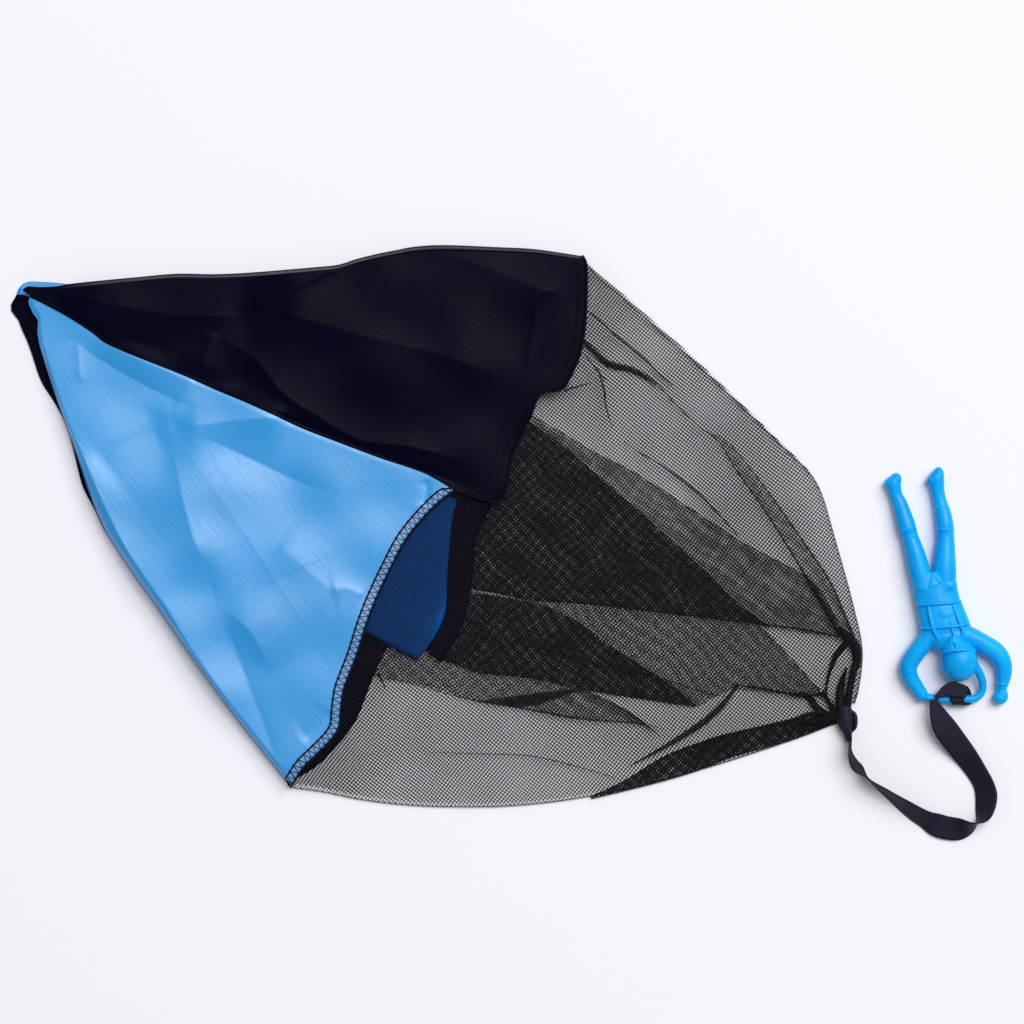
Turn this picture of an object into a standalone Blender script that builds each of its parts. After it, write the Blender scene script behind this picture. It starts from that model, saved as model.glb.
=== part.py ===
"""Toy parachute, folded flat: six cloth gores, a net skirt in two panels, a gather knot, a ribbon
tether with its loop, and a one-piece moulded parachutist whose ring hangs in the loop.

Metres, +Z up. X runs right and Y runs up the page of the top view. The table is at Z = 0.
"""

import math

import bmesh
import bpy
from mathutils import Vector

# Driving dimensions of the sewn canopy
BAG_LENGTH = 0.3672
FABRIC_THICKNESS = 0.0004
NET_THICKNESS = 0.0004
LAYER_AIR = 0.0006
SEAM_GAP = 0.0005
CREASE_RISE = 0.0022

# Driving dimensions of the gather knot
KNOT_DIAMETER = 0.0088
KNOT_HEIGHT = 0.0062
KNOT_CLEARANCE = 0.0004

# Driving dimensions of the ribbon and of its loop
RIBBON_WIDTH = 0.0094
RIBBON_THICKNESS = 0.0006
RIBBON_CLEARANCE = 0.0003
LOOP_WIDTH = 0.0060
LOOP_REACH = 0.0070

# Driving dimensions of the moulded figure
FIGURE_HEIGHT = 0.0860
FIGURE_GRAIN = 0.00062
RING_ROD_DIAMETER = 0.0031

# The top view that the outlines were read from
APEX_PX = (28, 297)
KNOT_PX = (845, 717)
CENTRE_PX = (510.97, 525.40)
RING_PX = (963, 699)
FIGURE_FOOT_PX = (890, 465)
FIGURE_CROWN_PX = (958, 681)
PIXEL = BAG_LENGTH / math.dist(APEX_PX, KNOT_PX)
FIGURE_PIXEL = FIGURE_HEIGHT / (FIGURE_CROWN_PX[1] - FIGURE_FOOT_PX[1])

# Heights of the stacked cloth, counted in layers from the table
LAYER_PITCH = FABRIC_THICKNESS + LAYER_AIR
TOP_LEVEL = 5
EDGE_LEVEL = 1
NET_TOP_LEVEL = 3
NET_LOW_LEVEL = 0.06

# How finely the cloth follows its folds
GORE_ROWS = 15
BACK_ROWS = 9
NET_ROWS = 12
FRONT_COLUMNS = 12
BACK_COLUMNS = 8
FOLD_COLUMNS = 6
STRIP_COLUMNS = 3
NET_SETTLE_SHARE = 0.5
BAND_SHARE = 0.86
BAND_STEP_SHARE = 0.05
CURVE_STEPS = 12

# How quickly the stack settles: shares of the way down a gore, and of the way across one
EDGE_SETTLE_SHARE = 0.3
BLUE_SLOPE_SHARE = 0.4
BLACK_FLAT_SHARE = 0.3
CREASE_FADE_SHARE = 0.17
NET_HEM_SETTLE_SHARE = 0.2

# Seams, folds and edges of the gores, from the apex to the hem
BLUE_FRONT_EDGE_PX = [
    (29, 301.5), (33, 312), (38.6, 321), (38.2, 333), (42, 352), (57, 400), (74, 448), (90, 496),
    (104, 529), (114, 546), (135, 577), (157, 608), (190, 656), (237, 720), (290, 787),
]
FRONT_SEAM_PX = [
    (31.5, 296.5), (46, 303.5), (70, 316.5), (94, 332), (106, 341.5), (125, 350.5), (155, 362.5),
    (185, 374.5), (215, 388), (245, 400.5), (275, 414), (305, 428), (335, 439.5), (380, 456.5),
    (425, 472), (455, 489),
]
BLACK_FRONT_EDGE_PX = [
    (23, 290.5), (28.7, 286.8), (40, 287.4), (57, 286.6), (70, 284.2), (96, 281.2), (136, 277.2),
    (176, 273.6), (216, 274), (256, 272), (316, 267), (338, 264.6), (356, 259), (376, 254),
    (396, 250), (416, 246.4), (446, 245), (496, 247), (536, 249.2), (582, 256),
]
BLUE_BACK_EDGE_PX = [
    (17.5, 288), (23, 282.3), (28.7, 280.9), (40, 281.2), (57, 282.3), (70, 283.6),
    (96, 283), (136, 279), (176, 275.5), (250, 274), (343, 268), (400, 252), (470, 248), (520, 250),
    (582, 256),
]
BLACK_BACK_EDGE_PX = [
    (10.3, 304), (9.8, 308), (11.5, 312), (18.4, 321), (20.5, 328), (25.3, 338.3),
    (30, 350.5), (40, 380), (53, 401), (63, 420), (70, 440), (76, 464), (80.5, 482), (84, 491),
    (94, 510), (104, 531), (115, 548), (136.5, 578), (159, 609), (192, 657), (240, 723), (288, 783),
]
BACK_APEX_PX = (14.5, 297.5)
BACK_SEAM_PX = [(33, 302), (120, 352), (240, 430), (360, 500), (462, 555)]
BLUE_FOLD_PX = [(28, 305), (110, 392), (215, 510), (318, 605), (366.6, 633), (389, 645.5), (418, 660)]
BLACK_FOLD_PX = [(31.5, 303.5), (126, 389), (250, 500), (354, 588), (442, 662)]
INNER_BLUE_SEAM_PX = [(38, 299), (150, 372), (256, 412), (380, 462), (457, 500)]
INNER_BLACK_SEAM_PX = [(39, 298), (152, 369), (262, 410), (390, 462), (496, 500)]

# Hems, each from its left corner to its right one
BLUE_FRONT_HEM_PX = [
    (290, 787), (303.6, 766), (316, 753.8), (331, 738.5), (338.5, 726), (340.2, 710), (342.9, 691),
    (347.3, 678), (356.6, 653.7), (365.8, 624.6), (376.5, 597), (391.8, 565), (404, 542),
    (419.4, 522), (437.8, 503), (455, 490),
]
BLACK_FRONT_HEM_PX = [
    (455, 489), (499, 499), (512, 455), (529, 418), (540, 393.5), (561, 389), (568, 379),
    (578, 357), (583, 334), (585.4, 300), (585.4, 268), (582, 256),
]
BLUE_BACK_HEM_PX = [
    (464, 554), (487, 505), (507, 455), (523, 414), (540, 389), (560, 370), (574, 335), (582, 256),
]
BLACK_BACK_HEM_PX = [
    (288, 783), (316, 767), (340, 743), (355, 722), (365.5, 697), (373.7, 675.5), (387, 649),
    (408, 624), (440, 585), (462, 555),
]
INNER_LOW_BLUE_HEM_PX = [(418, 660), (441, 620), (454, 580), (462, 555)]
INNER_TOP_BLUE_HEM_PX = [(418, 660), (443, 618.5), (447, 570), (450.8, 524), (456, 500)]
INNER_LOW_BLACK_HEM_PX = [(442, 662), (458, 620), (466, 585), (464, 554)]
INNER_TOP_BLACK_HEM_PX = [(442, 662), (461, 630), (470, 596), (474, 560), (478, 533), (496, 500)]

# Creases of the two front gores: start, end, width in pixels, height as a share of CREASE_RISE
BLUE_CREASE_SHARES = [
    ((60, 335), (173, 428), 16, 0.75),
    ((173, 428), (215, 470), 20, 0.9),
    ((173, 428), (198, 385), 14, 0.7),
    ((175, 445), (232, 650), 18, 0.8),
    ((232, 650), (262, 668), 14, 0.4),
    ((225, 480), (330, 560), 30, 0.45),
    ((340, 470), (378, 540), 26, 0.6),
    ((280, 640), (320, 700), 26, 0.5),
]
BLACK_CREASE_SHARES = [
    ((90, 305), (218, 333), 16, 0.6),
    ((218, 333), (205, 362), 12, 0.6),
    ((218, 333), (350, 422), 20, 0.7),
    ((350, 422), (445, 452), 18, 0.8),
    ((240, 318), (343, 270), 14, 0.7),
    ((343, 290), (560, 290), 34, 1.0),
    ((440, 350), (540, 400), 28, 0.6),
]

# Edges of the net skirt, from the hems to the knot, and its pleat
NET_LOW_EDGE_PX = [
    (293, 788), (324, 792.5), (356, 799), (388, 803.5), (430, 806.6), (484, 807), (516, 805.6),
    (548, 802.6), (580, 798), (612, 792), (644, 785), (676, 776.6), (708, 767.6), (740, 757.6),
    (772, 747), (804, 736), (832, 725),
]
NET_HIGH_EDGE_PX = [
    (585, 264), (598, 278), (610, 288), (634, 308.4), (658, 329.6), (682, 350.6), (706, 372.6),
    (730, 395.4), (754, 418.4), (778, 442), (802, 465), (814, 478.6), (823, 497), (831, 524),
    (840, 556), (849, 588), (856, 616), (861, 638), (862.6, 655), (861.4, 672), (858.6, 690),
    (855, 703.5),
]
PLEAT_START_PX = [(448, 682), (476, 625), (488, 555), (494, 514), (520, 460), (545, 408)]
PLEAT_HEM_COLUMN = 3
PLEAT_COLUMNS = 7
PLEAT_LOW_SHARE = 0.25
PLEAT_HIGH_SHARE = 0.78
GATHER_LOW_ANGLE = 208
GATHER_HIGH_ANGLE = 55

# Route of the ribbon: pixel across, pixel down, height of its middle as a share of its width,
# tilt in degrees from lying flat, and its width there as a share of RIBBON_WIDTH
RIBBON_ROUTE_SHARES = [
    (848.1, 728.6, 0.36, 90, 0.60),
    (849.9, 738.0, 0.46, 90, 0.80),
    (849.7, 749.0, 0.52, 90, 0.96),
    (852.2, 759.0, 0.52, 78, 1.00),
    (857.6, 768.2, 0.50, 68, 1.00),
    (866.6, 777.6, 0.53, 88, 1.00),
    (882.8, 790.0, 0.52, 76, 1.00),
    (893.4, 797.8, 0.50, 68, 1.00),
    (904.0, 805.5, 0.46, 58, 1.00),
    (915.4, 813.4, 0.42, 49, 1.00),
    (926.6, 819.8, 0.37, 40, 1.00),
    (938.0, 825.4, 0.20, 10, 1.00),
    (947.5, 828.2, 0.17, 6, 1.00),
    (958.9, 829.3, 0.24, 18, 1.00),
    (968.8, 827.6, 0.43, 50, 1.00),
    (976.0, 823.0, 0.53, 80, 1.00),
    (982.0, 815.5, 0.48, 118, 1.00),
    (985.2, 806.0, 0.40, 136, 1.00),
    (986.3, 795.0, 0.34, 146, 1.00),
    (983.6, 784.6, 0.36, 142, 1.00),
    (978.4, 774.8, 0.36, 142, 1.00),
    (970.2, 762.0, 0.32, 151, 1.00),
    (962.8, 751.8, 0.30, 166, 1.00),
    (952.2, 738.4, 0.46, 176, 1.04),
    (943.0, 725.6, 0.62, 180, 1.00),
    (936.8, 713.0, 0.70, 180, 0.72),
    (933.6, 704.0, 0.70, 180, 0.44),
    (932.6, 699.0, 0.70, 180, 0.34),
]
RIBBON_COLUMNS = 3
RIBBON_POINTS = 64

# The loop's band round the rod, and its tail to the tether: pixel across, pixel down, height over
# the rod's skin in ribbon thicknesses, and its width there as a share of RIBBON_WIDTH
LOOP_POINTS = 40
LOOP_SEGMENTS_ACROSS = 3
LOOP_RISE_SHARE = 0.34
LOOP_SLANT_SHARE = 0.6
LOOP_TAIL_SHARES = [
    (966, 692, 1.3, 0.50), (958, 690, 2.2, 0.62), (950, 689, 2.2, 0.64), (943, 691.4, 1.6, 0.42),
    (938, 694.6, 0.9, 0.26), (933.4, 697, 0.4, 0.22),
]
LOOP_TAIL_POINTS = 14
TAIL_PIVOT_PX = (933, 697.5)

# Limbs of the figure: pixel across, pixel down, height and radius in pixels of the figure, but
# the hook's radius is a share of the ring's rod
LEFT_LEG_PX = [
    (897.2, 474.5, 8.4, 4.0), (895.4, 477.4, 8.4, 5.8), (893.2, 482, 8.4, 7.5),
    (894.2, 488.5, 8.2, 7.0), (896, 495, 8.0, 6.6), (899.4, 503, 8.2, 7.5), (904, 518, 9.2, 8.7),
    (906.8, 527.6, 9.8, 9.2), (909.4, 536, 9.6, 8.7), (914.4, 553, 10.8, 10.1),
    (918.8, 570.7, 11.4, 11.0), (924, 590, 12, 10.6),
]
RIGHT_LEG_PX = [
    (939.8, 469.6, 8.4, 4.2), (938.4, 472.4, 8.4, 6.0), (936.4, 478, 8.4, 7.8),
    (937, 486, 8.0, 7.2), (938.2, 494, 7.8, 6.8), (940.2, 502, 8.0, 7.1), (942.6, 512, 8.8, 8.2),
    (944.4, 524, 9.8, 8.9), (945.2, 536, 9.6, 8.8), (944.6, 553, 10.6, 10.3),
    (943.8, 570.7, 11.6, 11.3), (943, 590, 12, 11),
]
LEFT_ARM_PX = [
    (930, 634, 13, 9.4), (919.6, 647, 12.2, 9.2), (911.6, 658, 11.2, 9.1), (907.6, 668.5, 10.4, 8.9),
    (911, 679, 9.4, 8.1), (917, 688, 8.8, 7.3), (921.6, 694.4, 8.4, 6.4),
]
RIGHT_ARM_PX = [
    (964, 634, 13, 10.4), (981, 642.4, 12.2, 9.8), (996, 652.4, 11, 9.7), (1003, 664, 10, 8.8),
    (1003.6, 676, 9, 7.7), (1002.2, 686, 8.4, 5.9), (1001.4, 691, 8.2, 5.4), (1001, 696, 8.2, 7.0),
    (1000.4, 701, 8.2, 5.0),
]
SHOULDERS_PX = [(927, 636, 12.8, 9.2), (946, 636, 13.8, 11.2), (967, 633, 12.8, 9.7)]
NECK_PX = [(947, 632, 13, 9.5), (953, 650, 15, 9.5)]
HOOK_SHARES = [
    (967, 657, 17, 1.22), (974.5, 666.5, 15.4, 1.14), (979.8, 675.5, 13, 1.08),
    (982.4, 684, 10.6, 1.02), (981.4, 692, 9.0, 1.0), (977, 697, 8.6, 1.0), (971, 699, 8.6, 1.0),
    (955, 699, 8.6, 1.0), (941, 699, 8.6, 1.0), (926, 697, 8.6, 1.0),
]

# Rounded masses of the figure: pixel across, down and height, then their three radii
MASSES_PX = [
    (932.6, 580, 12, 21.6, 14, 10.6),
    (934.4, 590, 12, 22.6, 15, 10.8),
    (937.6, 604, 12.4, 22.6, 16, 11.2),
    (942.2, 617, 13, 24.2, 16, 12.0),
    (945.6, 629, 13, 25.0, 13, 11.8),
    (889.8, 482.6, 7.6, 6.0, 5.6, 6.8),
    (895.6, 478.2, 8.2, 5.8, 6.6, 6.8),
    (932.6, 480, 7.6, 6.2, 6.0, 6.8),
    (938.2, 473.4, 8.2, 5.6, 7.6, 6.8),
    (921.0, 693.6, 8.6, 6.4, 7.6, 6.8),
    (1000.4, 697.4, 8.2, 7.8, 6.8, 7.0),
    (957.8, 660.6, 17.4, 18.6, 20.2, 16.8),
    (952.6, 648, 18.6, 13.2, 11, 12.6),
    (952.3, 643.5, 29.5, 3.0, 3.6, 3.2),
    (951.0, 637.8, 25.0, 5.4, 4.4, 4.6),
]

# Straps and rims moulded on: centre across, down and height, half width, half height, turn, bead
HOOPS_PX = [
    (937.4, 603, 12.4, 21.8, 10.8, 4, 2.0),
    (943.4, 624, 13.6, 24.0, 11.8, -4, 1.8),
    (956, 650, 17.8, 17.4, 15.6, -12, 2.0),
    (900.4, 506, 8.3, 6.6, 6.6, 14, 1.5),
    (941, 505.4, 8.3, 6.8, 6.6, -4, 1.5),
    (906.8, 528, 10, 8.3, 8.1, 16, 1.6),
    (944.8, 528, 10, 8.2, 8.1, 0, 1.6),
]
STRAPS_PX = [
    [(938, 642, 21.6, 2.2), (930.6, 628, 23.4, 2.2), (927, 613, 22.6, 2.2), (924.6, 601, 21.4, 2.2)],
    [(959.5, 638, 21.6, 2.2), (958.5, 625, 23.4, 2.2), (952.5, 611, 22.6, 2.2), (949, 600, 21.4, 2.2)],
]
LIMB_SIDES_RESOLUTION = 4
LIMB_POINTS = 24
BALL_SEGMENTS = 24
BALL_RINGS = 16
HOOP_POINTS = 32
FIGURE_SMOOTHING = 3
FIGURE_KEEP_SHARE = 0.105
AXIS_HEIGHT_PX = 8.6

# Turned profile of the knot, from its underside to its top: radius and height shares
KNOT_PROFILE_SHARES = [
    (0.0, 0.0), (0.66, 0.0), (0.88, 0.10), (0.98, 0.28), (0.93, 0.44), (0.93, 0.54),
    (1.0, 0.70), (0.88, 0.90), (0.62, 1.0), (0.0, 1.0),
]
KNOT_TURN_STEPS = 24
WELD_DISTANCE = 0.00001

# Colours of the real object, and how rough each of them is
BLUE_CLOTH = (0.14, 0.42, 0.80)
BLACK_CLOTH = (0.010, 0.009, 0.018)
BLACK_NET = (0.012, 0.011, 0.016)
BLACK_RIBBON = (0.009, 0.009, 0.017)
BLUE_PLASTIC = (0.01, 0.30, 0.84)
CLOTH_ROUGHNESS = 0.5
NET_ROUGHNESS = 0.7
RIBBON_ROUGHNESS = 0.6
PLASTIC_ROUGHNESS = 0.35


def clear_scene():
    for thing in list(bpy.data.objects):
        bpy.data.objects.remove(thing, do_unlink=True)


def named_collection(name):
    collection = bpy.data.collections.new(name)
    bpy.context.scene.collection.children.link(collection)
    return collection


def principled(name, colour, roughness):
    material = bpy.data.materials.new(name)
    material.use_nodes = True
    shader = material.node_tree.nodes["Principled BSDF"]
    shader.inputs["Base Color"].default_value = (*colour, 1.0)
    shader.inputs["Roughness"].default_value = roughness
    shader.inputs["Metallic"].default_value = 0.0
    return material


def place(pixel, height):
    """The point of the model under a pixel of the top view, at a height over the table."""
    across = (pixel[0] - CENTRE_PX[0]) * PIXEL
    along = (CENTRE_PX[1] - pixel[1]) * PIXEL
    return Vector((across, along, height))


def blend(first, second, share):
    return tuple(a + (b - a) * share for a, b in zip(first, second))


def ease(share):
    share = min(1.0, max(0.0, share))
    return share * share * (3 - 2 * share)


def curve_through(points, count):
    """Points at equal steps along a smooth curve through the given ones."""
    dense = []
    last = len(points) - 1
    for i in range(last):
        before = points[max(i - 1, 0)]
        start = points[i]
        end = points[i + 1]
        after = points[min(i + 2, last)]
        for step in range(CURVE_STEPS):
            t = step / CURVE_STEPS
            dense.append(
                tuple(
                    0.5 * (2 * b + (c - a) * t + (2 * a - 5 * b + 4 * c - d) * t * t
                           + (3 * b - a - 3 * c + d) * t * t * t)
                    for a, b, c, d in zip(before, start, end, after)
                )
            )
    dense.append(tuple(points[-1]))
    lengths = [0.0]
    for first, second in zip(dense, dense[1:]):
        lengths.append(lengths[-1] + math.dist(first[:2], second[:2]))
    sampled = []
    segment = 0
    for i in range(count):
        goal = lengths[-1] * i / (count - 1)
        while segment < len(dense) - 2 and lengths[segment + 1] < goal:
            segment += 1
        span = lengths[segment + 1] - lengths[segment]
        sampled.append(blend(dense[segment], dense[segment + 1], (goal - lengths[segment]) / span))
    return sampled


def patch(left, right, last, columns, rows):
    """Rows of pixels between two edges, from where they start to the last row's line."""
    left_line = curve_through(left, rows)
    right_line = curve_through(right, rows)
    last_line = curve_through(last, columns)
    grid = []
    for row in range(rows):
        down = row / (rows - 1)
        line = []
        for column in range(columns):
            across = column / (columns - 1)
            point = blend(left_line[row], right_line[row], across)
            straight = blend(last_line[0], last_line[-1], across)
            bow = blend(straight, last_line[column], down * down)
            line.append(tuple(p + b - s for p, b, s in zip(point, bow, straight)))
        grid.append(line)
    return grid


def crease_rise(pixel, creases):
    """Height that the soft creases add at a pixel, highest along each crease's line."""
    rise = 0.0
    for start, end, width, share in creases:
        run = (end[0] - start[0], end[1] - start[1])
        length = math.hypot(*run)
        along = ((pixel[0] - start[0]) * run[0] + (pixel[1] - start[1]) * run[1]) / length ** 2
        near = blend(start, end, min(1.0, max(0.0, along)))
        rise = max(rise, share * math.exp(-((math.dist(pixel, near) / width) ** 2)))
    return rise * CREASE_RISE


def shifted(line, distance):
    """The same line of pixels moved over to its upper side by a real distance."""
    moved = []
    for i, point in enumerate(line):
        ahead = line[min(i + 1, len(line) - 1)]
        behind = line[max(i - 1, 0)]
        reach = math.dist(ahead, behind) / (distance / PIXEL)
        moved.append(
            (point[0] + (ahead[1] - behind[1]) / reach, point[1] - (ahead[0] - behind[0]) / reach)
        )
    return moved


def level_height(level):
    return FABRIC_THICKNESS / 2 + level * LAYER_PITCH


def sheet_object(name, grid, thickness, material, closed=False):
    """A sheet of cloth: an open grid of points, given its thickness by Solidify."""
    mesh = bpy.data.meshes.new(name)
    columns = len(grid[0])
    points = [point for line in grid for point in line]
    faces = []
    for row in range(len(grid) - 1 + int(closed)):
        upper = (row % len(grid)) * columns
        lower = ((row + 1) % len(grid)) * columns
        for column in range(columns - 1):
            faces.append((upper + column, lower + column, lower + column + 1, upper + column + 1))
    mesh.from_pydata(points, [], faces)
    mesh.materials.append(material)
    mesh.shade_smooth()
    sheet = bpy.data.objects.new(name, mesh)
    parts.objects.link(sheet)
    solid = sheet.modifiers.new("Thickness", "SOLIDIFY")
    solid.thickness = thickness
    solid.offset = 0.0
    solid.use_even_offset = True
    return sheet


def set_origin(thing, origin):
    """Puts an object's origin on its joint's axis, and leaves its shape where it is."""
    for vertex in thing.data.vertices:
        vertex.co -= origin
    thing.location = origin


def lift(grid, height):
    """Points over a grid of pixels, each at height(across share, down share, pixel)."""
    rows = len(grid)
    columns = len(grid[0])
    return [
        [
            place(grid[row][column], height(column / (columns - 1), row / (rows - 1), grid[row][column]))
            for column in range(columns)
        ]
        for row in range(rows)
    ]


def side_by_side(*panels):
    """Joins panels whose rows run on from one to the next, as a fold does."""
    return [[point for line in lines for point in line] for lines in zip(*panels)]


def edge_level(down):
    """Near the apex every layer is stacked, and further down the outer edges lie near the table."""
    return TOP_LEVEL + (EDGE_LEVEL - TOP_LEVEL) * ease(down / EDGE_SETTLE_SHARE)


def blue_front_height(across, down, pixel):
    level = edge_level(down) + (TOP_LEVEL - edge_level(down)) * ease(across / BLUE_SLOPE_SHARE)
    fade = ease(across / CREASE_FADE_SHARE)
    return level_height(level) + crease_rise(pixel, BLUE_CREASE_SHARES) * fade


def black_front_height(across, down, pixel):
    slope = ease((across - BLACK_FLAT_SHARE) / (1 - BLACK_FLAT_SHARE))
    level = TOP_LEVEL + (edge_level(down) - TOP_LEVEL) * slope
    fade = ease((1 - across) / CREASE_FADE_SHARE)
    return level_height(level) + crease_rise(pixel, BLACK_CREASE_SHARES) * fade


def flat_height(level):
    return lambda across, down, pixel: level_height(level)


def make_front_gores():
    blue = patch(BLUE_FRONT_EDGE_PX, FRONT_SEAM_PX, BLUE_FRONT_HEM_PX, FRONT_COLUMNS, GORE_ROWS)
    black = patch(FRONT_SEAM_PX, BLACK_FRONT_EDGE_PX, BLACK_FRONT_HEM_PX, FRONT_COLUMNS, GORE_ROWS)
    blue_points = lift(blue, blue_front_height)
    black_points = lift(black, black_front_height)
    for blue_line, black_line in zip(blue_points, black_points):
        step = (black_line[1] - black_line[0]).normalized() * SEAM_GAP
        black_line[0] = black_line[0] + step
        black_line[0].z = blue_line[-1].z
    sheet_object("gore_blue_front", blue_points, FABRIC_THICKNESS, blue_cloth)
    sheet_object("gore_black_front", black_points, FABRIC_THICKNESS, black_cloth)
    return blue_points[-1] + black_points[-1]


def far_side(seam):
    """The other side of a back seam, clear of the cloth that turns up at it."""
    return shifted(seam, FABRIC_THICKNESS + SEAM_GAP)


def make_back_gores():
    seam = [BACK_APEX_PX, *BACK_SEAM_PX]
    black = patch(BLACK_BACK_EDGE_PX, seam, BLACK_BACK_HEM_PX, BACK_COLUMNS, BACK_ROWS)
    blue = patch(far_side(seam), BLUE_BACK_EDGE_PX, BLUE_BACK_HEM_PX, BACK_COLUMNS, BACK_ROWS)
    black_points = lift(black, flat_height(0))
    blue_points = lift(blue, flat_height(0))
    sheet_object("gore_black_back", black_points, FABRIC_THICKNESS, black_cloth)
    sheet_object("gore_blue_back", blue_points, FABRIC_THICKNESS, blue_cloth)
    return black_points[-1], blue_points[-1]


def folded_panel(left, right, hem, level):
    grid = patch(left, right, hem, FOLD_COLUMNS, BACK_ROWS)
    return lift(grid, flat_height(level))


def reversed_rows(panel):
    return [list(reversed(line)) for line in panel]


def make_inner_gores():
    low_blue = folded_panel(BLUE_FOLD_PX, BACK_SEAM_PX, INNER_LOW_BLUE_HEM_PX, 1)
    top_blue = folded_panel(BLUE_FOLD_PX, INNER_BLUE_SEAM_PX, INNER_TOP_BLUE_HEM_PX, 4)
    blue = side_by_side(reversed_rows(low_blue), top_blue)
    sheet_object("gore_blue_inner", blue, FABRIC_THICKNESS, blue_cloth)
    low_black = folded_panel(BLACK_FOLD_PX, far_side(BACK_SEAM_PX), INNER_LOW_BLACK_HEM_PX, 2)
    top_black = folded_panel(BLACK_FOLD_PX, INNER_BLACK_SEAM_PX, INNER_TOP_BLACK_HEM_PX, 3)
    seam_turn = [[line[-1] - Vector((0, 0, LAYER_PITCH))] for line in low_black]
    black = side_by_side(seam_turn, reversed_rows(low_black), top_black)
    sheet_object("gore_black_inner", black, FABRIC_THICKNESS, black_cloth)


def to_pixel(point):
    return (point[0] / PIXEL + CENTRE_PX[0], CENTRE_PX[1] - point[1] / PIXEL)


def past_hem(point):
    """The pixel one seam gap past a hem's point, on the way to the knot."""
    pixel = to_pixel(point)
    reach = math.dist(pixel, KNOT_PX)
    return blend(pixel, KNOT_PX, SEAM_GAP / PIXEL / reach)


def net_rows(starts, ends, low_line, high_line, shares):
    """Rows of the net from its start pixels to the gather, bowed out towards its two edges."""
    low = curve_through(low_line, NET_ROWS)
    high = curve_through(high_line, NET_ROWS)
    grid = []
    for row in range(NET_ROWS):
        down = row / (NET_ROWS - 1)
        low_bow = [a - b for a, b in zip(low[row], blend(low[0], low[-1], down))]
        high_bow = [a - b for a, b in zip(high[row], blend(high[0], high[-1], down))]
        line = []
        for start, end, share in zip(starts, ends, shares):
            point = blend(start, end, down)
            line.append(tuple(p + b for p, b in zip(point, blend(low_bow, high_bow, share))))
        grid.append(line)
    return grid


def even_shares(count):
    return [i / (count - 1) for i in range(count)]


def gather_points(shares):
    """Pixels round the knot's near side, one clearance off it: share 0 is low, share 1 is high."""
    radius = (KNOT_DIAMETER / 2 + KNOT_CLEARANCE) / PIXEL
    found = []
    for share in shares:
        angle = math.radians(GATHER_LOW_ANGLE + (GATHER_HIGH_ANGLE - GATHER_LOW_ANGLE) * share)
        found.append(
            (KNOT_PX[0] + radius * math.cos(angle), KNOT_PX[1] - radius * math.sin(angle))
        )
    return found


def between(first, last, count):
    return [first + (last - first) * share for share in even_shares(count)]


def net_sheet(starts, start_heights, shares, levels):
    """One run of net from start pixels to the knot, between its low and its high edge."""
    grid = net_rows(starts, gather_points(shares), NET_LOW_EDGE_PX, NET_HIGH_EDGE_PX, shares)
    points = []
    for row, line in enumerate(grid):
        settle = ease(row / (NET_ROWS - 1) / NET_SETTLE_SHARE)
        points.append(
            [
                place(pixel, start + (level_height(level) - start) * settle)
                for pixel, start, level in zip(line, start_heights, levels)
            ]
        )
    return points


def make_front_net(front_hem):
    """The upper panel: from the front hems to the knot, between the low edge and the seam band."""
    hem = front_hem[: 1 - STRIP_COLUMNS]
    hem.pop(FRONT_COLUMNS)
    shares = between(0.0, BAND_SHARE, len(hem))
    settled = [ease(share / NET_HEM_SETTLE_SHARE) for share in shares]
    levels = [EDGE_LEVEL + (NET_TOP_LEVEL - EDGE_LEVEL) * share for share in settled]
    points = net_sheet([past_hem(p) for p in hem], [p.z for p in hem], shares, levels)
    sheet_object("net_panel_front", points, NET_THICKNESS, black_net)


def make_back_net(front_hem, black_back_hem, blue_back_hem):
    """The lower panel: from the seam band round the high edge, then under, with one deep pleat."""
    strip_hem = front_hem[-STRIP_COLUMNS:]
    strip = net_sheet(
        [past_hem(p) for p in strip_hem],
        [p.z for p in strip_hem],
        between(BAND_SHARE + BAND_STEP_SHARE, 1.0, STRIP_COLUMNS),
        between(NET_TOP_LEVEL - 1, EDGE_LEVEL, STRIP_COLUMNS),
    )
    low_hem = list(reversed(blue_back_hem)) + list(reversed(black_back_hem[PLEAT_HEM_COLUMN:]))
    count = len(low_hem)
    low = net_sheet(
        [past_hem(p) for p in low_hem],
        [level_height(NET_LOW_LEVEL)] * count,
        between(1.0, PLEAT_LOW_SHARE, count),
        [NET_LOW_LEVEL] * count,
    )
    pleat_start = curve_through([past_hem(low_hem[-1]), *PLEAT_START_PX], PLEAT_COLUMNS)
    shares = between(PLEAT_LOW_SHARE, PLEAT_HIGH_SHARE, PLEAT_COLUMNS)
    middle = net_sheet(pleat_start, [level_height(1)] * PLEAT_COLUMNS, shares, [1] * PLEAT_COLUMNS)
    upper = net_sheet(pleat_start, [level_height(2)] * PLEAT_COLUMNS, shares, [2] * PLEAT_COLUMNS)
    end_hem = list(reversed(black_back_hem[:PLEAT_HEM_COLUMN]))
    end_shares = between(PLEAT_LOW_SHARE, 0.0, PLEAT_HEM_COLUMN + 1)[1:]
    end_levels = [max(NET_LOW_LEVEL, ease(share / PLEAT_LOW_SHARE)) for share in end_shares]
    end = net_sheet(
        [past_hem(p) for p in end_hem], [level_height(level) for level in end_levels], end_shares,
        end_levels,
    )
    back = side_by_side(strip, low, middle, reversed_rows(upper), end)
    sheet_object("net_panel_back", back, NET_THICKNESS, black_net)


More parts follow.
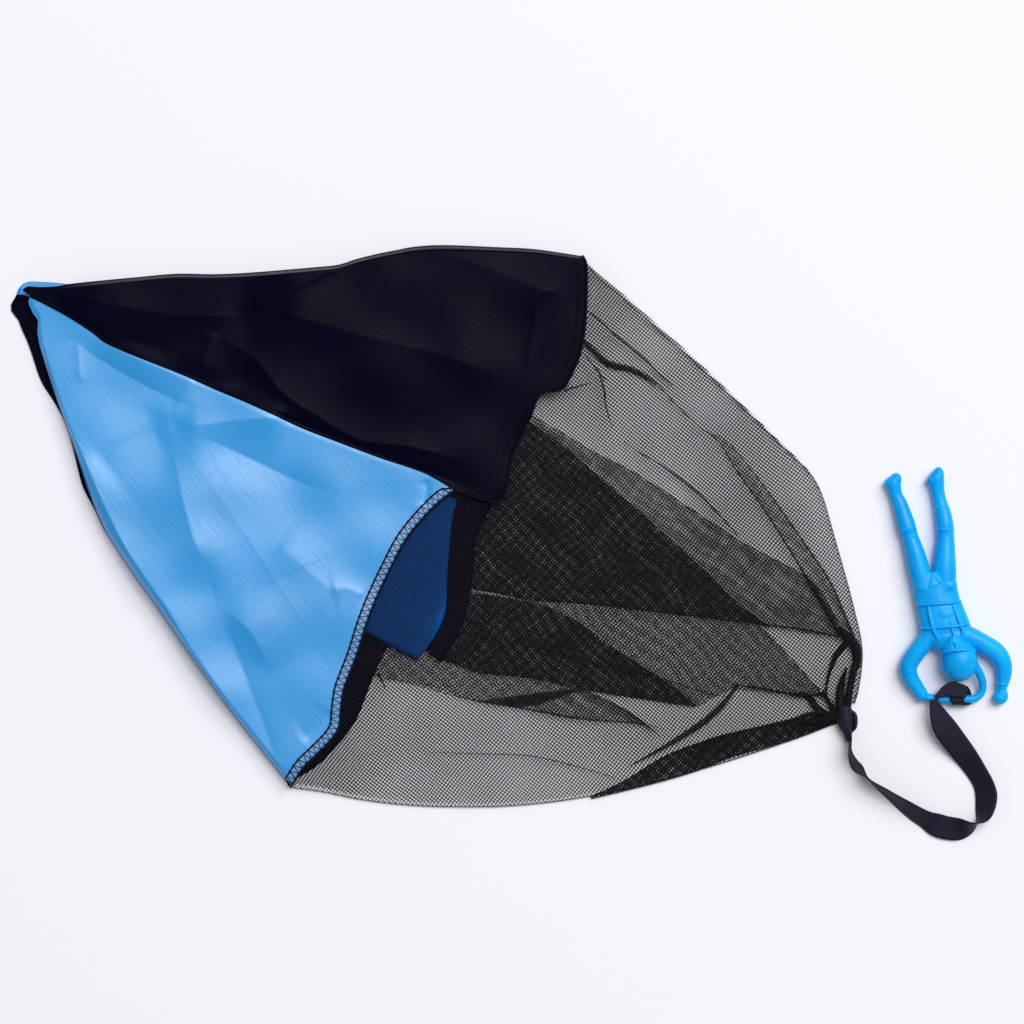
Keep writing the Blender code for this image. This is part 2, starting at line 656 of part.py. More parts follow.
def make_knot():
    centre = place(KNOT_PX, 0.0)
    radius = KNOT_DIAMETER / 2
    mesh = bpy.data.meshes.new("gather_knot")
    points = [(r * radius, 0.0, h * KNOT_HEIGHT) for r, h in reversed(KNOT_PROFILE_SHARES)]
    mesh.from_pydata(points, [(i, i + 1) for i in range(len(points) - 1)], [])
    mesh.materials.append(black_ribbon)
    knot = bpy.data.objects.new("gather_knot", mesh)
    parts.objects.link(knot)
    knot.location = centre
    turn = knot.modifiers.new("Turned", "SCREW")
    turn.steps = KNOT_TURN_STEPS
    turn.render_steps = KNOT_TURN_STEPS
    turn.use_merge_vertices = True
    turn.merge_threshold = WELD_DISTANCE
    turn.use_smooth_shade = True
    return knot


def make_ribbon():
    """The tether: a flat ribbon that twists as it goes, standing on its edge or lying on its face."""
    route = curve_through(RIBBON_ROUTE_SHARES, RIBBON_POINTS)
    middles = [place(point, point[2] * RIBBON_WIDTH) for point in route]
    grid = []
    for i, (point, middle) in enumerate(zip(route, middles)):
        ahead = middles[min(i + 1, len(middles) - 1)]
        behind = middles[max(i - 1, 0)]
        run = ahead - behind
        side = Vector((-run.y, run.x, 0.0)).normalized()
        tilt = math.radians(point[3])
        across = side * math.cos(tilt) + Vector((0, 0, math.sin(tilt)))
        half = point[4] * RIBBON_WIDTH / 2
        grid.append(
            [
                middle + across * half * (2 * column / (RIBBON_COLUMNS - 1) - 1)
                for column in range(RIBBON_COLUMNS)
            ]
        )
    ribbon = sheet_object("ribbon", grid, RIBBON_THICKNESS, black_ribbon)
    set_origin(ribbon, place(KNOT_PX, 0.0))


def figure_place(pixel, height):
    """As place does, but in the figure's own scale, which keeps its ring where the loop is."""
    ring = place(RING_PX, 0.0)
    across = (pixel[0] - RING_PX[0]) * FIGURE_PIXEL
    along = (RING_PX[1] - pixel[1]) * FIGURE_PIXEL
    return ring + Vector((across, along, height * FIGURE_PIXEL))


def make_loop_tail(skin):
    """The loop's end, which fans out of the band and lies under the tether's end."""
    route = curve_through(LOOP_TAIL_SHARES, LOOP_TAIL_POINTS)
    middles = [figure_place(point, 0.0) for point in route]
    grid = []
    for i, point in enumerate(route):
        run = middles[min(i + 1, len(middles) - 1)] - middles[max(i - 1, 0)]
        side = Vector((-run.y, run.x, 0.0)).normalized() * point[3] * RIBBON_WIDTH / 2
        middle = middles[i] + Vector((0, 0, skin + point[2] * RIBBON_THICKNESS))
        grid.append([middle - side, middle, middle + side])
    tail = sheet_object("loop_tail_cutter", grid, RIBBON_THICKNESS, black_ribbon)
    parts.objects.unlink(tail)
    cutters.objects.link(tail)
    tail.hide_render = True
    tail.display_type = "WIRE"
    return tail


def make_loop():
    """The ribbon's sewn loop: a closed band round the ring's rod, with a tail under the tether."""
    axis = figure_place(RING_PX, AXIS_HEIGHT_PX)
    inner = RING_ROD_DIAMETER / 2 + RIBBON_CLEARANCE + RIBBON_THICKNESS / 2
    grid = []
    for step in range(LOOP_POINTS):
        turn = 2 * math.pi * step / LOOP_POINTS
        out = max(0.0, math.cos(turn))
        rise = math.sin(turn) * inner * (1 + LOOP_RISE_SHARE * out)
        line = []
        for column in range(LOOP_SEGMENTS_ACROSS + 1):
            across = column / LOOP_SEGMENTS_ACROSS
            reach = inner + (LOOP_REACH - inner) * (1 - LOOP_SLANT_SHARE * across) * out ** 2
            line.append(axis + Vector((LOOP_WIDTH * (across - 0.5), math.cos(turn) * reach, rise)))
        grid.append(line)
    band = sheet_object("ribbon_loop", grid, RIBBON_THICKNESS, black_ribbon, closed=True)
    tail = make_loop_tail(axis.z + RING_ROD_DIAMETER / 2 + RIBBON_CLEARANCE)
    sewn = band.modifiers.new("Sewn tail", "BOOLEAN")
    sewn.operation = "UNION"
    sewn.object = tail
    set_origin(band, figure_place(TAIL_PIVOT_PX, 0.0))
    return band


def limb(stations, unit):
    """A tapered limb: a curve whose bevel follows its stations' radii, counted in a unit of length."""
    line = curve_through(stations, LIMB_POINTS)
    curve = bpy.data.curves.new("limb", "CURVE")
    curve.dimensions = "3D"
    curve.bevel_depth = unit
    curve.bevel_resolution = LIMB_SIDES_RESOLUTION
    curve.use_fill_caps = True
    spline = curve.splines.new("POLY")
    spline.points.add(len(line) - 1)
    for point, station in zip(spline.points, line):
        point.co = (*figure_place(station, station[2]), 1.0)
        point.radius = station[3]
    return curve


def hoop(centre, half_width, half_height, turn, bead):
    """A strap or rim moulded round the body: a closed bead along an upright ellipse."""
    curve = bpy.data.curves.new("hoop", "CURVE")
    curve.dimensions = "3D"
    curve.bevel_depth = FIGURE_PIXEL * bead
    curve.bevel_resolution = LIMB_SIDES_RESOLUTION
    spline = curve.splines.new("POLY")
    spline.points.add(HOOP_POINTS - 1)
    spline.use_cyclic_u = True
    for i, point in enumerate(spline.points):
        angle = 2 * math.pi * i / HOOP_POINTS
        out = half_width * math.cos(angle)
        across = centre[0] + out * math.cos(math.radians(turn))
        along = centre[1] - out * math.sin(math.radians(turn))
        height = centre[2] + half_height * math.sin(angle)
        point.co = (*figure_place((across, along), height), 1.0)
    return curve


def add_curve(shape, curve):
    """Adds a curve's skin to a bmesh, with its caps welded to its sides."""
    holder = bpy.data.objects.new("holder", curve)
    parts.objects.link(holder)
    graph = bpy.context.evaluated_depsgraph_get()
    skin = bpy.data.meshes.new_from_object(holder.evaluated_get(graph))
    shape.from_mesh(skin)
    bpy.data.objects.remove(holder, do_unlink=True)
    bpy.data.meshes.remove(skin)


def make_figure():
    """The parachutist: limbs, body masses and straps melted into one moulding by a fine remesh."""
    shape = bmesh.new()
    for stations in (LEFT_LEG_PX, RIGHT_LEG_PX, LEFT_ARM_PX, RIGHT_ARM_PX, SHOULDERS_PX,
                     NECK_PX, *STRAPS_PX):
        add_curve(shape, limb(stations, FIGURE_PIXEL))
    add_curve(shape, limb(HOOK_SHARES, RING_ROD_DIAMETER / 2))
    for across, down, height, half_width, half_height, turn, bead in HOOPS_PX:
        add_curve(shape, hoop((across, down, height), half_width, half_height, turn, bead))
    bmesh.ops.remove_doubles(shape, verts=shape.verts, dist=WELD_DISTANCE)
    for across, down, height, *radii in MASSES_PX:
        made = bmesh.ops.create_uvsphere(
            shape, u_segments=BALL_SEGMENTS, v_segments=BALL_RINGS, radius=FIGURE_PIXEL
        )
        bmesh.ops.scale(shape, verts=made["verts"], vec=Vector(radii))
        bmesh.ops.translate(shape, verts=made["verts"], vec=figure_place((across, down), height))
    mesh = bpy.data.meshes.new("figure")
    shape.to_mesh(mesh)
    shape.free()
    mesh.materials.append(blue_plastic)
    figure = bpy.data.objects.new("figure", mesh)
    parts.objects.link(figure)
    set_origin(figure, figure_place(RING_PX, AXIS_HEIGHT_PX))
    melt = figure.modifiers.new("Moulding", "REMESH")
    melt.mode = "VOXEL"
    melt.voxel_size = FIGURE_GRAIN
    melt.use_smooth_shade = True
    soften = figure.modifiers.new("Soft corners", "SMOOTH")
    soften.iterations = FIGURE_SMOOTHING
    thin = figure.modifiers.new("Fewer faces", "DECIMATE")
    thin.ratio = FIGURE_KEEP_SHARE
    return figure


clear_scene()
parts = named_collection("toy_parachute")
cutters = named_collection("cutters")
blue_cloth = principled("blue_cloth", BLUE_CLOTH, CLOTH_ROUGHNESS)
black_cloth = principled("black_cloth", BLACK_CLOTH, CLOTH_ROUGHNESS)
black_net = principled("black_net", BLACK_NET, NET_ROUGHNESS)
black_ribbon = principled("black_ribbon", BLACK_RIBBON, RIBBON_ROUGHNESS)
blue_plastic = principled("blue_plastic", BLUE_PLASTIC, PLASTIC_ROUGHNESS)

front_hem_points = make_front_gores()
black_hem_points, blue_hem_points = make_back_gores()
make_inner_gores()
make_front_net(list(front_hem_points))
make_back_net(front_hem_points, black_hem_points, blue_hem_points)
make_knot()
make_ribbon()
make_loop()
make_figure()
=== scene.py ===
# %% [markdown]
# # A toy parachute, folded flat on a table
# This lesson dresses the CAD model of a hand-thrown toy parachute. The canopy is six triangles of
# thin cloth, sewn side by side and folded flat. A skirt of black net joins their hems to a knot, and
# a ribbon runs from the knot to a moulded parachutist. Every piece here lies where its CAD solid
# lies, so the joints of the CAD model carry it.

# %% Load the frame
import math

import bmesh
import bpy
import numpy as np
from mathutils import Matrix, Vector
from mathutils.bvhtree import BVHTree


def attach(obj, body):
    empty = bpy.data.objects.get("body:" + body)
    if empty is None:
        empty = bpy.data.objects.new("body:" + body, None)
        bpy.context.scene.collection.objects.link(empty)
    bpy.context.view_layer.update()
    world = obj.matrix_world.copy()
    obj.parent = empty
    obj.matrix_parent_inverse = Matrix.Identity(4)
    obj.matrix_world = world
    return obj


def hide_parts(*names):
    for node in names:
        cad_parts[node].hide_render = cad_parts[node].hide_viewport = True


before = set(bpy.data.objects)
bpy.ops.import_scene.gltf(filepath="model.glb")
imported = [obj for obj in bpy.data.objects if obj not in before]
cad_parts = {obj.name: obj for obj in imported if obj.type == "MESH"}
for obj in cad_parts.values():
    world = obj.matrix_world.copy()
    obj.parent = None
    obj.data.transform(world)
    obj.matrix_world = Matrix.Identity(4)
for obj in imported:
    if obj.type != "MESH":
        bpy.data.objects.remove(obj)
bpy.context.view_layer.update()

# %% [markdown]
# ## From the page to the table
# The toy was read from a picture taken straight from above, so each outline is a list of points on
# the page, in pixels. One function puts such a point on the table, in metres. A smooth curve goes
# through each list, and is cut into equal steps, so that a fine mesh and a coarse one share edges.

# %% Places and curves
BAG_LENGTH = 0.3672
APEX_PX = (28, 297)
KNOT_PX = (845, 717)
CENTRE_PX = (510.97, 525.40)
PIXEL = BAG_LENGTH / math.dist(APEX_PX, KNOT_PX)
CURVE_STEPS = 12


def place(pixels, heights):
    """Points on the table under pixels of the page, at heights over it."""
    pixels = np.asarray(pixels, float)
    across = (pixels[..., 0] - CENTRE_PX[0]) * PIXEL
    along = (CENTRE_PX[1] - pixels[..., 1]) * PIXEL
    return np.stack(np.broadcast_arrays(across, along, heights), axis=-1)


def page(points):
    """The pixels of the page over some points."""
    return np.stack([points[..., 0] / PIXEL + CENTRE_PX[0], CENTRE_PX[1] - points[..., 1] / PIXEL], -1)


def ease(share):
    """A share of the way that starts and ends gently."""
    share = np.clip(share, 0.0, 1.0)
    return share * share * (3 - 2 * share)


def way_along(line):
    """How far along a line each of its points lies."""
    return np.concatenate([[0.0], np.cumsum(np.linalg.norm(np.diff(line, axis=0), axis=1))])


def at_marks(line, marks, goals):
    """Points of a line at the goals, where each of its own points has a mark."""
    return np.stack([np.interp(goals, marks, column) for column in np.asarray(line).T], axis=-1)


def curve_through(points, count):
    """Points at equal steps along a smooth curve through the given ones."""
    points = np.asarray(points, float)
    before = np.vstack([points[:1], points[:-2]])
    start, end = points[:-1], points[1:]
    after = np.vstack([points[2:], points[-1:]])
    t = (np.arange(CURVE_STEPS) / CURVE_STEPS)[None, :, None]
    a, b, c, d = (side[:, None, :] for side in (before, start, end, after))
    curve = 0.5 * (2 * b + (c - a) * t + (2 * a - 5 * b + 4 * c - d) * t * t
                   + (3 * b - a - 3 * c + d) * t ** 3)
    dense = np.vstack([curve.reshape(-1, points.shape[1]), points[-1:]])
    marks = way_along(dense[:, :2])
    return at_marks(dense, marks, np.linspace(0.0, marks[-1], count))


print(f"one pixel of the page is {PIXEL * 1000:.3f} mm")

# %% [markdown]
# ## The camera
# The picture was taken from straight above, with a long lens. A camera that looks down its own Z
# needs no turn: it only stands over the page's middle. Its field is as wide as the page at the
# height of the cloth.

# %% Camera
CAMERA_HEIGHT = 1.30
PAGE_WIDTH_PX = 1024
SENSOR_WIDTH_MM = 36.0
CLOTH_HEIGHT = 0.003

camera_data = bpy.data.cameras.new("camera")
camera_data.sensor_width = SENSOR_WIDTH_MM
camera_data.lens = SENSOR_WIDTH_MM * (CAMERA_HEIGHT - CLOTH_HEIGHT) / (PAGE_WIDTH_PX * PIXEL)
camera = bpy.data.objects.new("camera", camera_data)
bpy.context.scene.collection.objects.link(camera)
page_middle = place((PAGE_WIDTH_PX / 2, PAGE_WIDTH_PX / 2), CAMERA_HEIGHT)
camera.location = page_middle
bpy.context.scene.camera = camera
bpy.context.scene.view_settings.view_transform = "Standard"
print("camera over", [round(float(v), 4) for v in page_middle], "lens", round(camera_data.lens, 1))

# %% [markdown]
# ## Light and floor
# A product table under two large softboxes: the world gives an even light, one lamp from the
# upper right gives the folds their light and dark sides, and one overhead is mirrored by the satin
# cloth. Together they light a flat white card to about one, so a colour renders as it is written.
# The floor is a pale, slightly blue white. Past its edge the camera sees a backdrop of the same
# kind, which lights nothing.

# %% Light
WORLD_STRENGTH = 0.29
BACKDROP_COLOUR = (0.91, 0.905, 0.955)
SOFTBOXES = [
    ("softbox_key", (3.10, 2.70, 4.60), 3.2, 172.0),
    ("softbox_overhead", (1.10, 1.70, 4.90), 2.2, 126.0),
]

world = bpy.data.worlds.new("studio")
world.use_nodes = True
world_tree = world.node_tree
glow = world_tree.nodes["Background"]
glow.inputs["Color"].default_value = (1.0, 1.0, 1.0, 1.0)
glow.inputs["Strength"].default_value = WORLD_STRENGTH
backdrop = world_tree.nodes.new("ShaderNodeBackground")
backdrop.inputs["Color"].default_value = (*BACKDROP_COLOUR, 1.0)
rays = world_tree.nodes.new("ShaderNodeLightPath")
choice = world_tree.nodes.new("ShaderNodeMixShader")
world_tree.links.new(rays.outputs["Is Camera Ray"], choice.inputs["Fac"])
world_tree.links.new(glow.outputs["Background"], choice.inputs[1])
world_tree.links.new(backdrop.outputs["Background"], choice.inputs[2])
world_tree.links.new(choice.outputs["Shader"], world_tree.nodes["World Output"].inputs["Surface"])
bpy.context.scene.world = world

for name, where, size, power in SOFTBOXES:
    lamp_data = bpy.data.lights.new(name, "AREA")
    lamp_data.shape = "SQUARE"
    lamp_data.size = size
    lamp_data.energy = power
    lamp = bpy.data.objects.new(name, lamp_data)
    lamp.location = where
    lamp.rotation_euler = (-Vector(where)).to_track_quat("-Z", "Y").to_euler()
    bpy.context.scene.collection.objects.link(lamp)

# %% Floor
FLOOR_REACH = 1.5
FLOOR_COLOUR = (0.93, 0.92, 0.975)
FLOOR_DEPTH = 0.00005


def set_sockets(node, values):
    """Sets sockets that stay the same all over the surface."""
    for label, value in values.items():
        node.inputs[label].default_value = value


def new_material(name):
    """A material with its tree of nodes and its shader."""
    material = bpy.data.materials.new(name)
    material.use_nodes = True
    return material, material.node_tree, material.node_tree.nodes["Principled BSDF"]


floor_material, floor_tree, floor_shader = new_material("pale_table")
set_sockets(floor_shader, {
    "Base Color": (*FLOOR_COLOUR, 1.0), "Roughness": 0.9, "Specular IOR Level": 0.1})
floor_mesh = bpy.data.meshes.new("floor")
corners = [(-FLOOR_REACH, -FLOOR_REACH), (FLOOR_REACH, -FLOOR_REACH),
           (FLOOR_REACH, FLOOR_REACH), (-FLOOR_REACH, FLOOR_REACH)]
floor_mesh.from_pydata([(x, y, -FLOOR_DEPTH) for x, y in corners], [], [(0, 1, 2, 3)])
floor_mesh.materials.append(floor_material)
floor = bpy.data.objects.new("floor", floor_mesh)
bpy.context.scene.collection.objects.link(floor)

# %% [markdown]
# ## Building a piece
# A sheet is a grid of points. Its second set of coordinates, in metres of cloth, tells a weave
# where its threads run, so the threads follow the cloth and not the room. Each finished piece
# rides on a body of the CAD model, and hides the plain solid that it stands for.

# %% Grids, tubes and pieces
CLOTH_MAP = "cloth_metres"
TINY = 1e-12
STEEP = 1e-6


def grid_faces(rows, columns, closed_rows=False, closed_columns=False):
    """Faces of a grid of points, which may close on itself either way."""
    faces = []
    for row in range(rows - 1 + closed_rows):
        upper = row * columns
        lower = ((row + 1) % rows) * columns
        for column in range(columns - 1 + closed_columns):
            beside = (column + 1) % columns
            faces.append((upper + column, lower + column, lower + beside, upper + beside))
    return faces


def add_piece(name, points, faces, material, body, node=None, slot=None, cloth=None, marks=None):
    """A mesh that rides on a body and stands for a CAD node, if one is named.

    Marks are named numbers, one for each point, that a finish can read.
    """
    mesh = bpy.data.meshes.new(name)
    mesh.from_pydata([tuple(point) for point in points], [], faces)
    mesh.materials.append(material)
    if cloth is not None:
        layer = mesh.uv_layers.new(name=CLOTH_MAP)
        corners = np.empty(len(mesh.loops), dtype=np.int32)
        mesh.loops.foreach_get("vertex_index", corners)
        layer.data.foreach_set("uv", np.asarray(cloth, float)[corners].ravel())
    for label, numbers in (marks or {}).items():
        layer = mesh.attributes.new(label, "FLOAT", "POINT")
        layer.data.foreach_set("value", np.asarray(numbers, np.float32).ravel())
    mesh.shade_smooth()
    piece = bpy.data.objects.new(name, mesh)
    bpy.context.scene.collection.objects.link(piece)
    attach(piece, body)
    if node:
        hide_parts(node)
    return piece


def add_thickness(piece, thickness):
    solid = piece.modifiers.new("Thickness", "SOLIDIFY")
    solid.thickness = thickness
    solid.offset = 0.0
    return piece


def end_caps(rows, sides):
    """The two faces that close a tube of rings."""
    return [tuple(reversed(range(sides))), tuple(range((rows - 1) * sides, rows * sides))]


def tube(line, radii, sides=6):
    """Rings of points round a line, and the faces between them, with closed ends."""
    line = np.asarray(line, float)
    radii = np.broadcast_to(radii, len(line))
    run = np.gradient(line, axis=0)
    run /= np.linalg.norm(run, axis=1)[:, None] + TINY
    side = np.cross(run, (0.0, 0.0, 1.0))
    side[np.linalg.norm(side, axis=1) < STEEP] = (1.0, 0.0, 0.0)
    side /= np.linalg.norm(side, axis=1)[:, None]
    rise = np.cross(side, run)
    turn = np.linspace(0, 2 * math.pi, sides, endpoint=False)
    ring = (np.cos(turn)[None, :, None] * side[:, None] + np.sin(turn)[None, :, None] * rise[:, None])
    points = line[:, None] + ring * radii[:, None, None]
    faces = grid_faces(len(line), sides, closed_columns=True)
    faces += [tuple(reversed(cap)) for cap in end_caps(len(line), sides)]
    return points.reshape(-1, 3), faces


def join_shapes(shapes):
    """One list of points and one of faces from several shapes."""
    points, faces, first = [], [], 0
    for shape_points, shape_faces in shapes:
        points.append(shape_points)
        faces.extend(tuple(corner + first for corner in face) for face in shape_faces)
        first += len(shape_points)
    return np.vstack(points), faces


# %% [markdown]
# ## Node groups that several finishes share
# Weave and net are each built once as a group, with their sizes as inputs. A group only puts out
# colours, masks and heights; the shader that uses them stays in each material.

# %% Small helpers for nodes
def shader_group(name, inputs, outputs):
    """A node group with the given sockets: name and kind for each, and a first value for inputs."""
    group = bpy.data.node_groups.new(name, "ShaderNodeTree")
    for label, kind, value in inputs:
        socket = group.interface.new_socket(label, in_out="INPUT", socket_type="NodeSocket" + kind)
        if value is not None:
            socket.default_value = value
    for label, kind in outputs:
        group.interface.new_socket(label, in_out="OUTPUT", socket_type="NodeSocket" + kind)
    return group, group.nodes.new("NodeGroupInput"), group.nodes.new("NodeGroupOutput")


def math_node(tree, operation, *values):
    """A Math node fed by sockets or numbers."""
    node = tree.nodes.new("ShaderNodeMath")
    node.operation = operation
    for socket, value in zip(node.inputs, values):
        if isinstance(value, (int, float)):
            socket.default_value = value
        else:
            tree.links.new(value, socket)
    return node.outputs[0]


def mix_colours(tree, share, first, second):
    """A colour between two others. The share may be a socket, and so may each colour."""
    node = tree.nodes.new("ShaderNodeMix")
    node.data_type = "RGBA"
    for socket, value in zip((node.inputs[0], node.inputs[6], node.inputs[7]), (share, first, second)):
        if isinstance(value, bpy.types.NodeSocket):
            tree.links.new(value, socket)
        else:
            socket.default_value = value
    return node.outputs[2]


def spread(tree, value, low, high, to_low=0.0, to_high=1.0):
    """Maps a value's range to another one, and keeps it inside."""
    node = tree.nodes.new("ShaderNodeMapRange")
    tree.links.new(value, node.inputs["Value"])
    set_sockets(node, {"From Min": low, "From Max": high, "To Min": to_low, "To Max": to_high})
    return node.outputs["Result"]


def turned(tree, vector, scale=(1.0, 1.0, 1.0), angle=0.0):
    """A place that is scaled, or turned in its own plane."""
    node = tree.nodes.new("ShaderNodeMapping")
    tree.links.new(vector, node.inputs["Vector"])
    set_sockets(node, {"Scale": scale, "Rotation": (0.0, 0.0, angle)})
    return node.outputs["Vector"]


def noise(tree, vector, scale=1.0, detail=2.0):
    """Noise from zero to one."""
    node = tree.nodes.new("ShaderNodeTexNoise")
    tree.links.new(vector, node.inputs["Vector"])
    set_sockets(node, {"Scale": scale, "Detail": detail})
    return node.outputs[0]


def bump_from(tree, height, strength, distance):
    """A normal that tilts with a height."""
    node = tree.nodes.new("ShaderNodeBump")
    set_sockets(node, {"Strength": strength, "Distance": distance})
    tree.links.new(height, node.inputs["Height"])
    return node.outputs["Normal"]


def cloth_vector(tree):
    """Where a point of a piece lies on its cloth, in metres."""
    node = tree.nodes.new("ShaderNodeUVMap")
    node.uv_map = CLOTH_MAP
    return node.outputs["UV"]


# %% Weave group
THREAD_PITCH = 0.00042
SLUB_LENGTH = 0.016
SLUB_WIDTH = 0.0007
SLUB_DETAIL = 3.0
WARP_SLUB_SHARE = 0.65
SLUB_RANGE = (0.32, 0.68)
BROAD_SCALE = 22.0
NOISE_RANGE = (0.3, 0.7)
SLUB_POLISH = 0.06
CROSSING_HEIGHT = 0.25
SLUB_HEIGHT = 0.5

weave_group, weave_in, weave_out = shader_group(
    "taffeta weave",
    [("Cloth", "Vector", None), ("Colour", "Color", (0.5, 0.5, 0.5, 1)), ("Slub Share", "Float", 0.1),
     ("Tone Share", "Float", 0.1), ("Roughness", "Float", 0.5)],
    [("Colour", "Color"), ("Roughness", "Float"), ("Height", "Float")],
)
cloth_place = weave_in.outputs["Cloth"]
split = weave_group.nodes.new("ShaderNodeSeparateXYZ")
weave_group.links.new(cloth_place, split.inputs[0])
turn_share = 2 * math.pi / THREAD_PITCH
warp, weft = (math_node(weave_group, "SINE", math_node(weave_group, "MULTIPLY", axis, turn_share))
              for axis in split.outputs[:2])
crossing = math_node(weave_group, "MULTIPLY", warp, weft)
warp_slub, weft_slub = (
    noise(weave_group, turned(weave_group, cloth_place, (1 / long, 1 / wide, 1.0)), detail=SLUB_DETAIL)
    for long, wide in ((SLUB_LENGTH, SLUB_WIDTH), (SLUB_WIDTH, SLUB_LENGTH)))
slub = math_node(weave_group, "ADD", math_node(weave_group, "MULTIPLY", warp_slub, WARP_SLUB_SHARE),
                 math_node(weave_group, "MULTIPLY", weft_slub, 1 - WARP_SLUB_SHARE))
slub_sided = spread(weave_group, slub, *SLUB_RANGE, -1.0, 1.0)
broad = spread(weave_group, noise(weave_group, cloth_place, BROAD_SCALE), *NOISE_RANGE, -1.0, 1.0)
tone = math_node(
    weave_group, "ADD", math_node(weave_group, "MULTIPLY", slub_sided, weave_in.outputs["Slub Share"]),
    math_node(weave_group, "MULTIPLY", broad, weave_in.outputs["Tone Share"]))
scaled = weave_group.nodes.new("ShaderNodeVectorMath")
scaled.operation = "SCALE"
weave_group.links.new(weave_in.outputs["Colour"], scaled.inputs[0])
weave_group.links.new(math_node(weave_group, "ADD", tone, 1.0), scaled.inputs["Scale"])
weave_group.links.new(scaled.outputs[0], weave_out.inputs["Colour"])
weave_group.links.new(
    math_node(weave_group, "SUBTRACT", weave_in.outputs["Roughness"],
              math_node(weave_group, "MULTIPLY", slub_sided, SLUB_POLISH)), weave_out.inputs["Roughness"])
weave_group.links.new(
    math_node(weave_group, "ADD", math_node(weave_group, "MULTIPLY", crossing, CROSSING_HEIGHT),
              math_node(weave_group, "MULTIPLY", slub_sided, SLUB_HEIGHT)), weave_out.inputs["Height"])

# %% Net group
NET_PITCH = 0.00116
NET_HOLE_SHARE = 0.86
NET_WOBBLE = 0.0022
NET_WOBBLE_SCALE = 28.0
WOBBLE_DETAIL = 1.5
HOLE_ROUNDNESS = 2.6
CORD_SOFTNESS = 0.03
CORD_SLOPE = 0.2

net_group, net_in, net_out = shader_group(
    "diamond net",
    [("Cloth", "Vector", None), ("Pitch", "Float", NET_PITCH), ("Hole Share", "Float", NET_HOLE_SHARE),
     ("Wobble", "Float", NET_WOBBLE), ("Wobble Scale", "Float", NET_WOBBLE_SCALE)],
    [("Alpha", "Float"), ("Height", "Float")],
)
drift = net_group.nodes.new("ShaderNodeTexNoise")
net_group.links.new(net_in.outputs["Wobble Scale"], drift.inputs["Scale"])
drift.inputs["Detail"].default_value = WOBBLE_DETAIL
net_group.links.new(net_in.outputs["Cloth"], drift.inputs["Vector"])
centred = net_group.nodes.new("ShaderNodeVectorMath")
centred.operation = "SUBTRACT"
centred.inputs[1].default_value = (0.5, 0.5, 0.5)
net_group.links.new(drift.outputs["Color"], centred.inputs[0])
pushed = net_group.nodes.new("ShaderNodeVectorMath")
pushed.operation = "SCALE"
net_group.links.new(centred.outputs[0], pushed.inputs[0])
net_group.links.new(net_in.outputs["Wobble"], pushed.inputs["Scale"])
moved = net_group.nodes.new("ShaderNodeVectorMath")
net_group.links.new(net_in.outputs["Cloth"], moved.inputs[0])
net_group.links.new(pushed.outputs[0], moved.inputs[1])
net_split = net_group.nodes.new("ShaderNodeSeparateXYZ")
net_group.links.new(moved.outputs[0], net_split.inputs[0])
offsets = []
for axis in (0, 1):
    cell = math_node(net_group, "DIVIDE", net_split.outputs[axis], net_in.outputs["Pitch"])
    part = math_node(net_group, "FRACT", cell)
    offsets.append(math_node(net_group, "ABSOLUTE", math_node(net_group, "SUBTRACT", part, 0.5)))
powers = [math_node(net_group, "POWER", offset, HOLE_ROUNDNESS) for offset in offsets]
reach = math_node(net_group, "POWER", math_node(net_group, "ADD", *powers), 1 / HOLE_ROUNDNESS)
half_hole = math_node(net_group, "MULTIPLY", net_in.outputs["Hole Share"], 0.5)
edge = math_node(net_group, "SUBTRACT", reach, half_hole)
net_group.links.new(spread(net_group, edge, -CORD_SOFTNESS, CORD_SOFTNESS), net_out.inputs["Alpha"])
net_group.links.new(spread(net_group, edge, 0.0, CORD_SLOPE), net_out.inputs["Height"])

# %% [markdown]
# ## Finishes
# The cloth is a thin satin taffeta: it mirrors a little along its threads and shows small slubs.
# The net is matt nylon, the ribbon is a ribbed grosgrain, and the parachutist is a soft plastic
# that lets some light into its thin edges.

# %% Cloth finishes
HEM_BAND = 0.0033
HEM_BAND_BLUR = 0.9
HEM_MARK = "to_hem"
WEAVE_DEPTH = 0.00012
CLOTH_IOR = 1.6


def weave_material(name, colour, slub_share, tone_share, roughness, angle, mirror, bump=0.35,
                   hem_colour=None):
    """Woven cloth. A hem colour is shown in a band along the hem, where the mark is small."""
    material, tree, shader = new_material(name)
    weave = tree.nodes.new("ShaderNodeGroup")
    weave.node_tree = weave_group
    tree.links.new(turned(tree, cloth_vector(tree), angle=angle), weave.inputs["Cloth"])
    set_sockets(weave, {"Colour": (*colour, 1.0), "Slub Share": slub_share, "Tone Share": tone_share,
                        "Roughness": roughness})
    shown = weave.outputs["Colour"]
    if hem_colour:
        mark = tree.nodes.new("ShaderNodeAttribute")
        mark.attribute_name = HEM_MARK
        share = spread(tree, mark.outputs["Fac"], HEM_BAND * HEM_BAND_BLUR, HEM_BAND, 1.0, 0.0)
        shown = mix_colours(tree, share, shown, (*hem_colour, 1.0))
    tree.links.new(shown, shader.inputs["Base Color"])
    tree.links.new(weave.outputs["Roughness"], shader.inputs["Roughness"])
    tree.links.new(bump_from(tree, weave.outputs["Height"], bump, WEAVE_DEPTH), shader.inputs["Normal"])
    set_sockets(shader, {"Specular IOR Level": mirror, "IOR": CLOTH_IOR})
    return material


